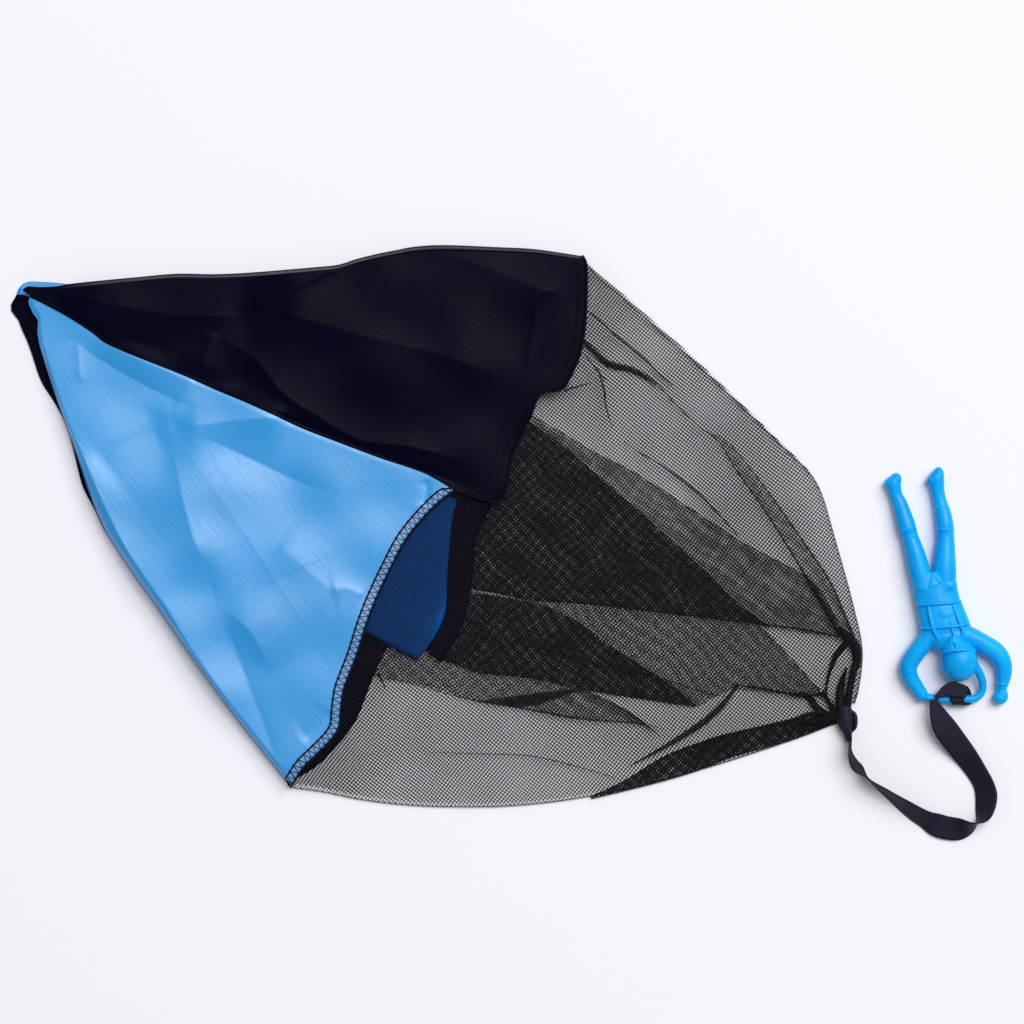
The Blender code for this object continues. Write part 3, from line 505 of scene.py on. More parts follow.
blue_cloth = weave_material("blue_taffeta", (0.004, 0.300, 0.74), 0.07, 0.04, 0.37, 0.91,
                            mirror=0.86, bump=0.25, hem_colour=(0.12, 0.33, 0.66))
# The inner face gets a darker copy of the blue cloth: painted shade, for the inside that the lamps hardly
# reach.
blue_shaded_inside = weave_material("blue_taffeta_shaded_inside", (0.000, 0.062, 0.270), 0.10, 0.05, 0.5, 0.91,
                             mirror=0.06)
black_cloth = weave_material("black_taffeta", (0.0010, 0.0011, 0.0095), 0.20, 0.10, 0.34, 0.60,
                             mirror=0.030, bump=0.2)

# %% Net finish
NET_COLOUR = (0.0075, 0.0072, 0.0105)
NET_BUMP = 0.6
NET_DEPTH = 0.0001


def net_material(name, angle, hole_share=NET_HOLE_SHARE, pitch=NET_PITCH, wobble=NET_WOBBLE,
                 wobble_scale=NET_WOBBLE_SCALE):
    """Matt net. A larger hole share lets more light through."""
    material, tree, shader = new_material(name)
    net = tree.nodes.new("ShaderNodeGroup")
    net.node_tree = net_group
    tree.links.new(turned(tree, cloth_vector(tree), angle=angle), net.inputs["Cloth"])
    set_sockets(net, {"Pitch": pitch, "Hole Share": hole_share, "Wobble": wobble,
                      "Wobble Scale": wobble_scale})
    tree.links.new(bump_from(tree, net.outputs["Height"], NET_BUMP, NET_DEPTH), shader.inputs["Normal"])
    tree.links.new(net.outputs["Alpha"], shader.inputs["Alpha"])
    set_sockets(shader, {"Base Color": (*NET_COLOUR, 1.0), "Roughness": 0.6,
                         "Specular IOR Level": 0.08})
    return material


net_upper = net_material("net_upper", 0.66)
net_lower = net_material("net_lower", 0.66, wobble=0.0027)
net_pleated = net_material("net_pleated", 0.42, hole_share=0.94, wobble=0.0030, wobble_scale=45.0)
net_turned = net_material("net_turned", 0.90, hole_share=0.94, wobble=0.0030, wobble_scale=40.0)
net_dense = net_material("net_dense", 0.60, hole_share=0.70, wobble=0.0030, wobble_scale=40.0)
net_folded = net_material("net_folded", 0.35, hole_share=0.45, pitch=0.0006)

# %% Ribbon and thread finishes
RIB_PITCH = 0.00085
RIB_SHARE = 0.5
MOTTLE_ACROSS = 0.0006
MOTTLE_ALONG = 0.0012
RIB_BUMP = 0.6
RIB_DEPTH = 0.00018
RIB_RANGE = (-0.2, 1.2)
# Shares of the ribbon's colour for the painted shade between its ribs and the painted light on their tops
RIBBON_GROOVE_SHADE_SHARE = 0.65
RIBBON_RIB_LIGHT_SHARE = 1.5
THREAD_TWISTS = 4000.0


def ribbon_material(name, colour):
    """Ribbed grosgrain, with painted shade between its ribs and painted light on their tops, mottled at
    random.
    """
    material, tree, shader = new_material(name)
    vector = cloth_vector(tree)
    parts = tree.nodes.new("ShaderNodeSeparateXYZ")
    tree.links.new(vector, parts.inputs[0])
    ribs = math_node(tree, "SINE", math_node(tree, "MULTIPLY", parts.outputs[1], 2 * math.pi / RIB_PITCH))
    mottled = noise(tree, turned(tree, vector, (1 / MOTTLE_ACROSS, 1 / MOTTLE_ALONG, 1.0)))
    height = math_node(tree, "ADD", math_node(tree, "MULTIPLY", ribs, RIB_SHARE), mottled)
    tree.links.new(bump_from(tree, height, RIB_BUMP, RIB_DEPTH), shader.inputs["Normal"])
    # The colour follows the ribs' height: painted shade in the grooves and painted light on the ribs.
    dark, light = ((*(c * share for c in colour), 1.0)
                   for share in (RIBBON_GROOVE_SHADE_SHARE, RIBBON_RIB_LIGHT_SHARE))
    tree.links.new(mix_colours(tree, spread(tree, height, *RIB_RANGE), dark, light),
                   shader.inputs["Base Color"])
    tree.links.new(spread(tree, height, *RIB_RANGE, 0.72, 0.5), shader.inputs["Roughness"])
    set_sockets(shader, {"Specular IOR Level": 0.22})
    return material


def thread_finish(name, dark, light):
    """Matt sewing thread, mottled by its twist."""
    material, tree, shader = new_material(name)
    inside = tree.nodes.new("ShaderNodeTexCoord").outputs["Object"]
    twist = noise(tree, turned(tree, inside, (THREAD_TWISTS, THREAD_TWISTS, THREAD_TWISTS)), detail=1.0)
    tree.links.new(mix_colours(tree, twist, (*dark, 1.0), (*light, 1.0)), shader.inputs["Base Color"])
    set_sockets(shader, {"Roughness": 0.6, "Specular IOR Level": 0.1})
    return material


grosgrain = ribbon_material("black_grosgrain", (0.0095, 0.0100, 0.0250))
navy_thread = thread_finish("navy_thread", (0.002, 0.003, 0.014), (0.005, 0.009, 0.035))
black_thread = thread_finish("black_thread", (0.001, 0.001, 0.004), (0.003, 0.003, 0.008))

# %% Plastic finish
PLASTIC_COLOURS = ((0.0, 0.36, 0.90, 1.0), (0.0, 0.45, 0.96, 1.0))
PLASTIC_ROUGHNESS = (0.30, 0.38)
PLASTIC_MOTTLE_SCALE = 90.0
PLASTIC_MOTTLE_DETAIL = 3.0

plastic, plastic_tree, plastic_shader = new_material("blue_plastic")
plastic_noise = noise(plastic_tree, plastic_tree.nodes.new("ShaderNodeTexCoord").outputs["Object"],
                      PLASTIC_MOTTLE_SCALE, PLASTIC_MOTTLE_DETAIL)
plastic_tree.links.new(
    mix_colours(plastic_tree, spread(plastic_tree, plastic_noise, *NOISE_RANGE), *PLASTIC_COLOURS),
    plastic_shader.inputs["Base Color"])
plastic_tree.links.new(spread(plastic_tree, plastic_noise, *NOISE_RANGE, *PLASTIC_ROUGHNESS),
                       plastic_shader.inputs["Roughness"])
set_sockets(plastic_shader, {
    "Specular IOR Level": 0.22, "Subsurface Weight": 0.35, "Subsurface Radius": (0.3, 0.9, 1.0),
    "Subsurface Scale": 0.0025})

# %% [markdown]
# ## The stack of folded cloth
# The canopy lies in layers. The two front triangles lie on top, two more are folded in between, and
# the two back ones lie on the table. Heights are counted in layers, as in the CAD model, and each
# triangle is a patch between two seams and a hem.

# %% Layers and patches
LAYER_PITCH = 0.0010
CLOTH_THICKNESS = 0.0003
HALF_SHEET = 0.0002
TOP_LEVEL = 5
EDGE_LEVEL = 1
EDGE_DROP_SHARE = 0.3
NET_TOP_LEVEL = 3
BLUE_BACK_LEVEL = 0
BLACK_BACK_LEVEL = 0.4
BLUE_INNER_LEVELS = (1, 4)
BLACK_INNER_LEVELS = (2, 3)

BLUE_FRONT_EDGE_PX = [
    (29, 301.5), (33, 312), (38.6, 321), (38.2, 333), (42, 352), (57, 400), (74, 448), (90, 496),
    (104, 529), (114, 546), (135, 577), (157, 608), (190, 656), (237, 720), (290, 787),
]
FRONT_SEAM_PX = [
    (31.5, 296.5), (46, 303.5), (70, 316.5), (94, 332), (106, 341.5), (125, 350.5), (155, 362.5),
    (185, 374.5), (215, 388), (245, 400.5), (275, 414), (305, 428), (335, 439.5), (380, 456.5),
    (425, 472), (455, 489),
]
BLACK_FRONT_EDGE_PX = [
    (23, 290.5), (28.7, 286.8), (40, 287.4), (57, 286.6), (70, 284.2), (96, 281.2), (136, 277.2),
    (176, 273.6), (216, 274), (256, 272), (316, 267), (338, 264.6), (356, 259), (376, 254),
    (396, 250), (416, 246.4), (446, 245), (496, 247), (536, 249.2), (582, 256),
]
BLUE_BACK_EDGE_PX = [
    (17.5, 288), (23, 282.3), (28.7, 280.9), (40, 281.2), (57, 282.3), (70, 283.6),
    (96, 283), (136, 279), (176, 275.5), (250, 274), (343, 268), (400, 252), (470, 248), (520, 250),
    (582, 256),
]
BLACK_BACK_EDGE_PX = [
    (10.3, 304), (9.8, 308), (11.5, 312), (18.4, 321), (20.5, 328), (25.3, 338.3),
    (30, 350.5), (40, 380), (53, 401), (63, 420), (70, 440), (76, 464), (80.5, 482), (84, 491),
    (94, 510), (104, 531), (115, 548), (136.5, 578), (159, 609), (192, 657), (240, 723), (288, 783),
]
BACK_APEX_PX = (14.5, 297.5)
APEX_WRAP_PX = (15.0, 297.0)
BACK_SEAM_PX = [(33, 302), (120, 352), (240, 430), (360, 500), (462, 555)]
BLUE_FOLD_PX = [(28, 305), (110, 392), (215, 510), (318, 605), (366.6, 633), (389, 645.5), (418, 660)]
BLACK_FOLD_PX = [(31.5, 303.5), (126, 389), (250, 500), (354, 588), (442, 662)]
INNER_BLUE_SEAM_PX = [(38, 299), (150, 372), (256, 412), (380, 462), (457, 500)]
INNER_BLACK_SEAM_PX = [(39, 298), (152, 369), (262, 410), (390, 462), (496, 500)]
BLUE_FRONT_HEM_PX = [
    (290, 787), (303.6, 766), (316, 753.8), (331, 738.5), (338.5, 726), (340.2, 710), (342.9, 691),
    (347.3, 678), (356.6, 653.7), (365.8, 624.6), (376.5, 597), (391.8, 565), (404, 542),
    (419.4, 522), (437.8, 503), (455, 490),
]
BLACK_FRONT_HEM_PX = [
    (455, 489), (499, 499), (512, 455), (529, 418), (540, 393.5), (561, 389), (568, 379),
    (578, 357), (583, 334), (585.4, 300), (585.4, 268), (582, 256),
]
BLUE_BACK_HEM_PX = [
    (464, 554), (487, 505), (507, 455), (523, 414), (540, 389), (560, 370), (574, 335), (582, 256),
]
BLACK_BACK_HEM_PX = [
    (288, 783), (316, 767), (340, 743), (355, 722), (365.5, 697), (373.7, 675.5), (387, 649),
    (408, 624), (440, 585), (462, 555),
]
INNER_LOW_BLUE_HEM_PX = [(418, 660), (441, 620), (454, 580), (462, 555)]
INNER_TOP_BLUE_HEM_PX = [(418, 660), (443, 618.5), (447, 570), (450.8, 524), (456, 500)]
INNER_LOW_BLACK_HEM_PX = [(442, 662), (458, 620), (466, 585), (464, 554)]
INNER_TOP_BLACK_HEM_PX = [(442, 662), (461, 630), (470, 596), (474, 560), (478, 533), (496, 500)]


def shares(rows, columns):
    """Shares of the way across a grid and down it."""
    return np.linspace(0, 1, columns)[None, :], np.linspace(0, 1, rows)[:, None]


def patch(left, right, hem, columns, rows):
    """Rows of pixels between two edges, from where they start to the hem."""
    across, down = (share[..., None] for share in shares(rows, columns))
    left_line = curve_through(left, rows)[:, None]
    right_line = curve_through(right, rows)[:, None]
    hem_line = curve_through(hem, columns)[None]
    straight = hem_line[:, :1] + (hem_line[:, -1:] - hem_line[:, :1]) * across
    return left_line + (right_line - left_line) * across + (hem_line - straight) * down ** 2


def level_height(level):
    """Height of the middle of a sheet in the stack."""
    return HALF_SHEET + level * LAYER_PITCH


def edge_level(down):
    """Level of a front gore's free edge: on the stack at the apex, and near the table further on."""
    return TOP_LEVEL + (EDGE_LEVEL - TOP_LEVEL) * ease(down / EDGE_DROP_SHARE)


# %% [markdown]
# ## Creases
# A crease is a line on the page with a height: a ridge stands up along its line, and a valley sinks
# in. Each of its two flanks has a width of its own, so one side can be steep and the other gentle.
# The lamps then give each flank its light or dark tone, and a few long waves soften the rest.

# %% Creases
CREASE_STEPS = 4
CREASE_SHARPNESS = 1.1
CREASE_TAPER = 0.22
WAVES = 9
SHORTEST_WAVE_PX = 60
LONGEST_WAVE_PX = 150


def line_distance(pixels, line):
    """Signed distance of each pixel from a bent line, and the share of the way along it."""
    lengths = way_along(line)
    best = np.full(pixels.shape[:-1], np.inf)
    signed = np.zeros_like(best)
    along = np.zeros_like(best)
    for i in range(len(line) - 1):
        run = line[i + 1] - line[i]
        step = math.hypot(*run)
        offset = pixels - line[i]
        t = np.clip((offset @ run) / step ** 2, 0.0, 1.0)
        gap = offset - t[..., None] * run
        distance = np.hypot(gap[..., 0], gap[..., 1])
        side = np.sign(run[0] * offset[..., 1] - run[1] * offset[..., 0])
        nearer = distance < best
        best = np.where(nearer, distance, best)
        signed = np.where(nearer, distance * side, signed)
        along = np.where(nearer, (lengths[i] + t * step) / lengths[-1], along)
    return signed, along


def crease(pixels, line, right_width, left_width, height, taper=CREASE_TAPER):
    """Height that one crease adds, with its flanks on the right and left of its way on the page."""
    signed, along = line_distance(pixels, curve_through(line, CREASE_STEPS * len(line)))
    width = np.where(signed > 0, right_width, left_width)
    fade = ease(along / taper) * ease((1 - along) / taper)
    return height * np.exp(-np.abs(signed / width) ** CREASE_SHARPNESS) * fade


def creased(pixels, creases):
    """Height that a list of creases adds."""
    return sum(crease(pixels, *one) for one in creases)


def waved(pixels, seed, height):
    """A gentle random waviness, as in cloth that has been folded before."""
    chance = np.random.default_rng(seed)
    total = 0.0
    for _ in range(WAVES):
        turns = 2 * math.pi / chance.uniform(SHORTEST_WAVE_PX, LONGEST_WAVE_PX)
        heading, phase = chance.uniform(0, 2 * math.pi, 2)
        total = total + np.sin(
            turns * (pixels[..., 0] * math.cos(heading) + pixels[..., 1] * math.sin(heading)) + phase)
    return height * total / math.sqrt(WAVES)


# Each crease: its line, the widths of its right and left flanks, its height, and a taper of its own
BLUE_CREASES = [
    ([(61, 403), (79, 443), (103, 499), (128, 549), (171, 612), (199, 660), (245, 722), (279, 764)],
     6, 75, 0.0032),
    ([(60, 318), (110, 347), (200, 386), (300, 431), (400, 469), (430, 480)], 60, 14, 0.0010),
    ([(150, 400), (230, 510), (290, 600), (360, 700)], 300, 60, 0.0017, 0.45),
    ([(173, 425), (174, 437), (176.3, 460), (182.4, 491), (190, 521), (196, 540), (203, 558),
      (210.6, 577), (218.6, 604), (225, 615)], 20, 60, 0.0018, 0.42),
    ([(196, 540), (203, 558), (210.6, 577), (218.6, 604), (225, 615)], 34, 10, -0.0008, 0.45),
    ([(173, 427), (200, 425), (230, 421.5), (256, 419), (296, 418)], 26, 24, 0.0016),
    ([(186, 432), (224, 446), (262, 464), (300, 482), (345, 498)], 60, 20, -0.0017, 0.35),
    ([(60, 332), (95, 356), (121, 372), (150, 388), (180, 402), (214, 416)], 34, 15, -0.0017, 0.4),
    ([(196, 372), (190, 384), (180, 405), (173, 425)], 24, 10, 0.0005),
    ([(173, 425), (145.7, 436), (113.6, 452), (90, 470)], 18, 30, -0.0011),
    ([(79, 340), (80, 360), (82, 385)], 7, 7, 0.0003),
    ([(222, 610), (237.7, 618), (252, 632.5), (262, 649), (274, 676)], 9, 32, 0.0014, 0.4),
    ([(222, 612), (239.3, 655), (252, 690), (261.6, 715), (271, 742), (282, 770)], 26, 12, -0.0009),
    ([(275, 540), (310, 572), (345, 600)], 40, 26, 0.0008),
    ([(330, 590), (347, 588), (366, 596)], 14, 8, 0.0006),
    ([(426, 478), (427, 492), (424, 508)], 5, 4, -0.0006),
    ([(300, 740), (318, 727), (333, 708)], 8, 10, -0.0006),
]
BLACK_CREASES = [
    ([(50, 297), (85, 300), (130, 308), (180, 316), (242, 318), (262, 322)], 34, 32, 0.0018),
    ([(238, 320), (262, 306), (290, 291), (340, 266), (356, 256)], 8, 16, 0.0012),
    ([(217, 331), (209, 350), (202, 371)], 7, 5, 0.0006),
    ([(216, 330), (240, 349), (260, 365), (280, 390), (310, 412), (360, 440), (410, 447),
      (470, 462)], 12, 24, 0.0024),
    ([(240, 308), (290, 316), (340, 330), (400, 345), (450, 358), (512, 380)], 60, 66, 0.0034),
    ([(566, 285), (553, 291), (541, 295), (536, 306), (535, 322), (533, 344), (524, 372)],
     5, 3, 0.0004),
    ([(400, 250), (470, 262), (540, 290), (575, 300)], 24, 14, 0.0006),
]

# %% Front gores
GORE_COLUMNS = 200
GORE_ROWS = 230
BLUE_RELIEF = 0.82
BLACK_RELIEF = 0.7
BLUE_WAVE = 0.0004
BLACK_WAVE = 0.0003
DEEPEST = -0.0012
DEEP_SOFTNESS = 0.0003
CLOTH_LIFT = 0.0009
CLOTH_LOFT = 0.0005
LIFT_SHARE = 0.15
APEX_SHARE = 0.1
EDGE_ROUND_PX = 6
SEAM_LAP = 0.0003
SEAM_LAP_SHARE = 0.02
SEAM_BLEND_SHARE = 0.2
SEAM_OVERLAP_PX = (-0.8, 1.2)


def cloth_metres(pixels):
    """Where pixels lie on their cloth, which is as large as it shows on the page."""
    flat = place(pixels, 0.0)
    return flat[..., :2].reshape(-1, 2)


def shallow(rise):
    """A relief whose deep places are filled softly, to keep clear of the layers below."""
    return DEEPEST + np.logaddexp(0.0, (rise - DEEPEST) / DEEP_SOFTNESS) * DEEP_SOFTNESS


def hem_marks(points):
    """Each point's distance from the hem along its column."""
    steps = np.linalg.norm(np.diff(points, axis=0), axis=-1)
    return np.vstack([np.cumsum(steps[::-1], axis=0)[::-1], np.zeros((1, points.shape[1]))])


def sew_gore(name, pixels, heights, material, node, rests_on, slot):
    """One triangle of cloth as a thin solid sheet."""
    points = place(pixels, heights)
    rows, columns = points.shape[:2]
    piece = add_piece(name, points.reshape(-1, 3), grid_faces(rows, columns), material, "canopy",
                      node, slot, cloth_metres(pixels), {HEM_MARK: hem_marks(points)})
    add_thickness(piece, CLOTH_THICKNESS)
    return points


def front_relief(pixels, creases, relief, seed, wave):
    """How far a front gore rises over its level, by its creases and its waves."""
    rise = shallow(relief * creased(pixels, creases) + waved(pixels, seed, wave))
    return rise * ease(down / APEX_SHARE)


def front_heights(pixels, edge_column, rise):
    """Heights of a front gore, which lies on the stack and is rounded down at its free edge."""
    gap = ease(np.linalg.norm(pixels - pixels[:, [edge_column]], axis=-1) / EDGE_ROUND_PX)
    level = edge_level(down) + (TOP_LEVEL - edge_level(down)) * gap
    lift = CLOTH_LOFT + CLOTH_LIFT * ease(down / LIFT_SHARE)
    return level_height(level) + (rise + lift) * gap


across, down = shares(GORE_ROWS, GORE_COLUMNS)
blue_px = patch(BLUE_FRONT_EDGE_PX, FRONT_SEAM_PX, BLUE_FRONT_HEM_PX, GORE_COLUMNS, GORE_ROWS)
blue_rise = front_relief(blue_px, BLUE_CREASES, BLUE_RELIEF, 3, BLUE_WAVE)
blue_front = sew_gore("blue_front_cloth", blue_px, front_heights(blue_px, 0, blue_rise), blue_cloth,
                      "gore_blue_front", ["gore_blue_inner"], "blue_cloth")

# The black gore starts at the blue one's height, and laps over it at the seam
black_px = patch(FRONT_SEAM_PX, BLACK_FRONT_EDGE_PX, BLACK_FRONT_HEM_PX, GORE_COLUMNS, GORE_ROWS)
black_rise = front_relief(black_px, BLACK_CREASES, BLACK_RELIEF, 8, BLACK_WAVE)
black_rise = black_rise + (blue_rise[:, -1:] - black_rise[:, :1]) * ease(1 - across / SEAM_BLEND_SHARE)
black_heights = front_heights(black_px, -1, black_rise) + SEAM_LAP * ease(1 - across / SEAM_LAP_SHARE)
black_px[:, 0] = black_px[:, 0] + SEAM_OVERLAP_PX
black_front = sew_gore("black_front_cloth", black_px, black_heights, black_cloth, "gore_black_front",
                       ["gore_black_inner"], "black_cloth")

# %% Back and inner gores
BACK_COLUMNS = 60
BACK_ROWS = 90
SEAM_STEP = 0.0009
WRAP_STEP = 0.0011


def shifted(line, distance):
    """The same line of pixels moved over to its upper side by a real distance."""
    line = np.asarray(line, float)
    run = np.vstack([line[1:], line[-1:]]) - np.vstack([line[:1], line[:-1]])
    reach = np.hypot(*run.T)[:, None] / (distance / PIXEL)
    return line + np.stack([run[:, 1], -run[:, 0]], axis=-1) / reach


far_seam = shifted(BACK_SEAM_PX, SEAM_STEP)
wrap_seam = shifted([APEX_WRAP_PX, *BACK_SEAM_PX], WRAP_STEP)
whole_seam = shifted([BACK_APEX_PX, *BACK_SEAM_PX], SEAM_STEP)
back_px = patch(BLACK_BACK_EDGE_PX, wrap_seam, BLACK_BACK_HEM_PX, BACK_COLUMNS, BACK_ROWS)
sew_gore("black_back_cloth", back_px, level_height(BLACK_BACK_LEVEL), black_cloth, "gore_black_back",
         ["floor"], "black_cloth")
back_px = patch(whole_seam, BLUE_BACK_EDGE_PX, BLUE_BACK_HEM_PX, BACK_COLUMNS, BACK_ROWS)
sew_gore("blue_back_cloth", back_px, level_height(BLUE_BACK_LEVEL), blue_cloth, "gore_blue_back",
         ["floor"], "blue_cloth")


def folded(fold, levels, low_seam, low_hem, top_seam, top_hem):
    """A triangle folded in two along a line, as one grid from its low seam to its top one."""
    low = patch(fold, low_seam, low_hem, BACK_COLUMNS, BACK_ROWS)[:, ::-1]
    top = patch(fold, top_seam, top_hem, BACK_COLUMNS, BACK_ROWS)[:, 1:]
    column_levels = np.repeat(np.array(levels, float), (BACK_COLUMNS, BACK_COLUMNS - 1))
    column_levels[BACK_COLUMNS - 1] = sum(levels) / 2
    return np.concatenate([low, top], axis=1), level_height(column_levels)[None, :]


# The inner blue triangle wears the darker blue copy, which is painted shade.
sew_gore("blue_inner_cloth",
         *folded(BLUE_FOLD_PX, BLUE_INNER_LEVELS, BACK_SEAM_PX, INNER_LOW_BLUE_HEM_PX,
                 INNER_BLUE_SEAM_PX, INNER_TOP_BLUE_HEM_PX),
         blue_shaded_inside, "gore_blue_inner", ["gore_black_inner"], "blue_cloth")
sew_gore("black_inner_cloth",
         *folded(BLACK_FOLD_PX, BLACK_INNER_LEVELS, far_seam, INNER_LOW_BLACK_HEM_PX,
                 INNER_BLACK_SEAM_PX, INNER_TOP_BLACK_HEM_PX),
         black_cloth, "gore_black_inner", ["gore_blue_back"], "black_cloth")

# %% [markdown]
# ## Overlocked hems
# The hems are overlocked with three threads: one line runs along the edge, one runs further in, and
# a third goes to and fro between them. Each is a thin tube that lies on the cloth: navy on the blue
# hem, and black on the black one.

# %% Overlock threads
THREAD_RADIUS = 0.00035
SCALLOP = 0.00025
STITCH_PITCH_PX = 6.4
OVERLOCK_WIDTH_PX = 8.5
NARROW_STITCHES = 4
NARROW_SHARE = 0.3
EDGE_THREAD_SHARE = 1.5
NAVY_RISE = 0.00038
BLACK_RISE = 0.00015
ROWS_INSIDE = 14


def hem_frame(points, count):
    """A hem's line cut into equal steps, and the way into the cloth at each of them."""
    hem, inside = points[-1], points[-ROWS_INSIDE]
    marks = way_along(hem)
    goals = np.linspace(0.0, marks[-1], count)
    line, inner = at_marks(hem, marks, goals), at_marks(inside, marks, goals)
    run = np.gradient(line, axis=0)
    way = np.cross(run, (0.0, 0.0, 1.0))
    way /= np.linalg.norm(way, axis=1)[:, None]
    way *= np.sign(np.einsum("ij,ij->i", way, inner - line))[:, None]
    return line, way


def looks_down_on(piece):
    """A function that gives the height of a piece's top under each of some pixels."""
    mesh = piece.data
    tree = BVHTree.FromPolygons([v.co for v in mesh.vertices], [f.vertices for f in mesh.polygons])

    def heights(pixels, fallback):
        found = []
        for x, y, _ in place(pixels, 0.0).reshape(-1, 3):
            hit = tree.ray_cast(Vector((x, y, 1.0)), Vector((0.0, 0.0, -1.0)))[0]
            found.append(hit.z if hit else fallback)
        return np.array(found).reshape(np.asarray(pixels).shape[:-1])

    return heights


def overlock(points, cloth, rise):
    """The three threads of one overlocked hem, as tubes on the cloth."""
    count = 2 * int(way_along(points[-1])[-1] / (STITCH_PITCH_PX * PIXEL)) + 1
    line, way = hem_frame(points, count)
    stitch = np.arange(count)
    ends = ease(np.minimum(stitch, count - 1 - stitch) / NARROW_STITCHES)[:, None]
    inner_line = line + way * (OVERLOCK_WIDTH_PX * PIXEL) * (NARROW_SHARE + (1 - NARROW_SHARE) * ends)
    found = looks_down_on(bpy.data.objects[cloth])(page(inner_line), np.nan)
    inner_line[:, 2] = np.where(np.isnan(found), line[:, 2], found)
    up = np.array((0.0, 0.0, rise))
    edge_line = line - way * THREAD_RADIUS
    outward = (stitch % 2 == 0)[:, None]
    zigzag = np.where(outward, edge_line, inner_line)
    scallops = np.where(outward, inner_line - way * SCALLOP, inner_line)
    return [tube(edge_line, THREAD_RADIUS * EDGE_THREAD_SHARE), tube(scallops + up, THREAD_RADIUS),
            tube(zigzag + up, THREAD_RADIUS)]


add_piece("overlock_threads", *join_shapes(overlock(blue_front, "blue_front_cloth", NAVY_RISE)),
          navy_thread, "canopy", slot="black_ribbon")
add_piece("overlock_threads_black", *join_shapes(overlock(black_front, "black_front_cloth", BLACK_RISE)),
          black_thread, "canopy", slot="black_ribbon")

# %% [markdown]
# ## The net skirt
# The net is one sheet of diamond mesh that hangs from the hems and is gathered at the knot. Lying
# flat, it makes an upper and a lower layer, with deep pleats between them. Where two pleats lie on
# each other, six layers block the light and the net looks nearly black.

# %% Net layers
NET_LOW_EDGE_PX = [
    (293, 788), (324, 792.5), (356, 799), (388, 803.5), (430, 806.6), (484, 807), (516, 805.6),
    (548, 802.6), (580, 798), (612, 792), (644, 785), (676, 776.6), (708, 767.6), (740, 757.6),
    (772, 747), (804, 736), (832, 725),
]
NET_HIGH_EDGE_PX = [
    (585, 264), (598, 278), (610, 288), (634, 308.4), (658, 329.6), (682, 350.6), (706, 372.6),
    (730, 395.4), (754, 418.4), (778, 442), (802, 465), (814, 478.6), (823, 497), (831, 524),
    (840, 556), (849, 588), (856, 616), (861, 638), (862.6, 655), (861.4, 672), (858.6, 690),
    (855, 703.5),
]
NET_ROWS = 110
NET_COLUMNS = 130
GATHER_PX = [(832, 725), (833.5, 716), (838, 709.5), (845, 705), (855, 703.5)]


def gather(share):
    """Pixels round the knot: share 0 is at the net's low edge and share 1 at its high one."""
    line = curve_through(GATHER_PX, 60)
    along = np.linspace(0, 1, len(line))
    return np.stack([np.interp(share, along, column) for column in line.T], axis=-1)


def net_sheet(name, starts, start_heights, end_shares, levels, material, node=None, settle=0.2):
    """Net from its start pixels to the knot, bowed out towards the skirt's two edges."""
    columns = len(starts)
    down = np.linspace(0, 1, NET_ROWS)[:, None, None]
    low = curve_through(NET_LOW_EDGE_PX, NET_ROWS)[:, None]
    high = curve_through(NET_HIGH_EDGE_PX, NET_ROWS)[:, None]
    low_bow = low - (low[:1] + (low[-1:] - low[:1]) * down)
    high_bow = high - (high[:1] + (high[-1:] - high[:1]) * down)
    part = np.asarray(end_shares)[None, :, None]
    ends = gather(end_shares)[None]
    pixels = np.asarray(starts)[None] + (ends - np.asarray(starts)[None]) * down
    pixels = pixels + low_bow + (high_bow - low_bow) * part
    settled = ease(down[..., 0] / settle)
    heights = start_heights + (level_height(np.asarray(levels)) - start_heights) * settled
    points = place(pixels, heights)
    piece = add_piece(name, points.reshape(-1, 3), grid_faces(NET_ROWS, columns), material, "canopy",
                      node, "black_net", cloth_metres(pixels))
    return piece


front_hem = np.concatenate([blue_front[-1], black_front[-1, 1:]])
hem_lengths = np.concatenate([[0.0], np.cumsum(np.linalg.norm(np.diff(front_hem, axis=0), axis=1))])
goals = np.linspace(0, hem_lengths[-1], NET_COLUMNS)
hem_line = np.stack([np.interp(goals, hem_lengths, c) for c in front_hem.T], axis=-1)
hem_px = page(hem_line)
toward = np.asarray(KNOT_PX) - hem_px
hem_px = hem_px - toward / np.hypot(*toward.T)[:, None] * 2.0
across_net = np.linspace(0, 1, NET_COLUMNS)
net_sheet("net_upper_sheet", hem_px, hem_line[:, 2] - 0.0004, across_net,
          EDGE_LEVEL + (NET_TOP_LEVEL - EDGE_LEVEL) * ease(across_net / 0.2) * ease((1 - across_net) / 0.2),
          net_upper, "net_panel_front")

back_hem_px = np.concatenate([curve_through(BLACK_BACK_HEM_PX, NET_COLUMNS // 2),
                              curve_through(BLUE_BACK_HEM_PX, NET_COLUMNS - NET_COLUMNS // 2)])
net_sheet("net_lower_sheet", back_hem_px, np.full(NET_COLUMNS, level_height(0.05)), across_net,
          np.full(NET_COLUMNS, 0.05), net_lower, "net_panel_back")

# %% Where the net's top lies
upper_net = bpy.data.objects["net_upper_sheet"]
net_top = looks_down_on(upper_net)

# %% [markdown]
# ## Pleats
# A pleat is two more layers of net, between two fold lines. The pleats lie side by side and give the
# skirt its map of light and dark: two layers where it is clear, and four in the pleats. In the
# darkest places, where the real net has six, a strip of closer net stands for them.

# %% Pleats of the net
PLEAT_ROWS = 70
PLEAT_COLUMNS = 26
LAYER_TURN = 0.35
PLEAT_HEIGHTS = (0.0009, 0.0012)
BAND_HEIGHTS = (0.0010,)
ROLL_HEIGHTS = (0.0008, 0.0011)
SOFT_FOLD_HEIGHTS = (0.0010, 0.0013, 0.0016, 0.0019)


def turned_metres(pixels, angle):
    """Cloth coordinates of a layer that lies turned on the others."""
    spin = np.array([[math.cos(angle), math.sin(angle)], [-math.sin(angle), math.cos(angle)]])
    return cloth_metres(pixels) @ spin


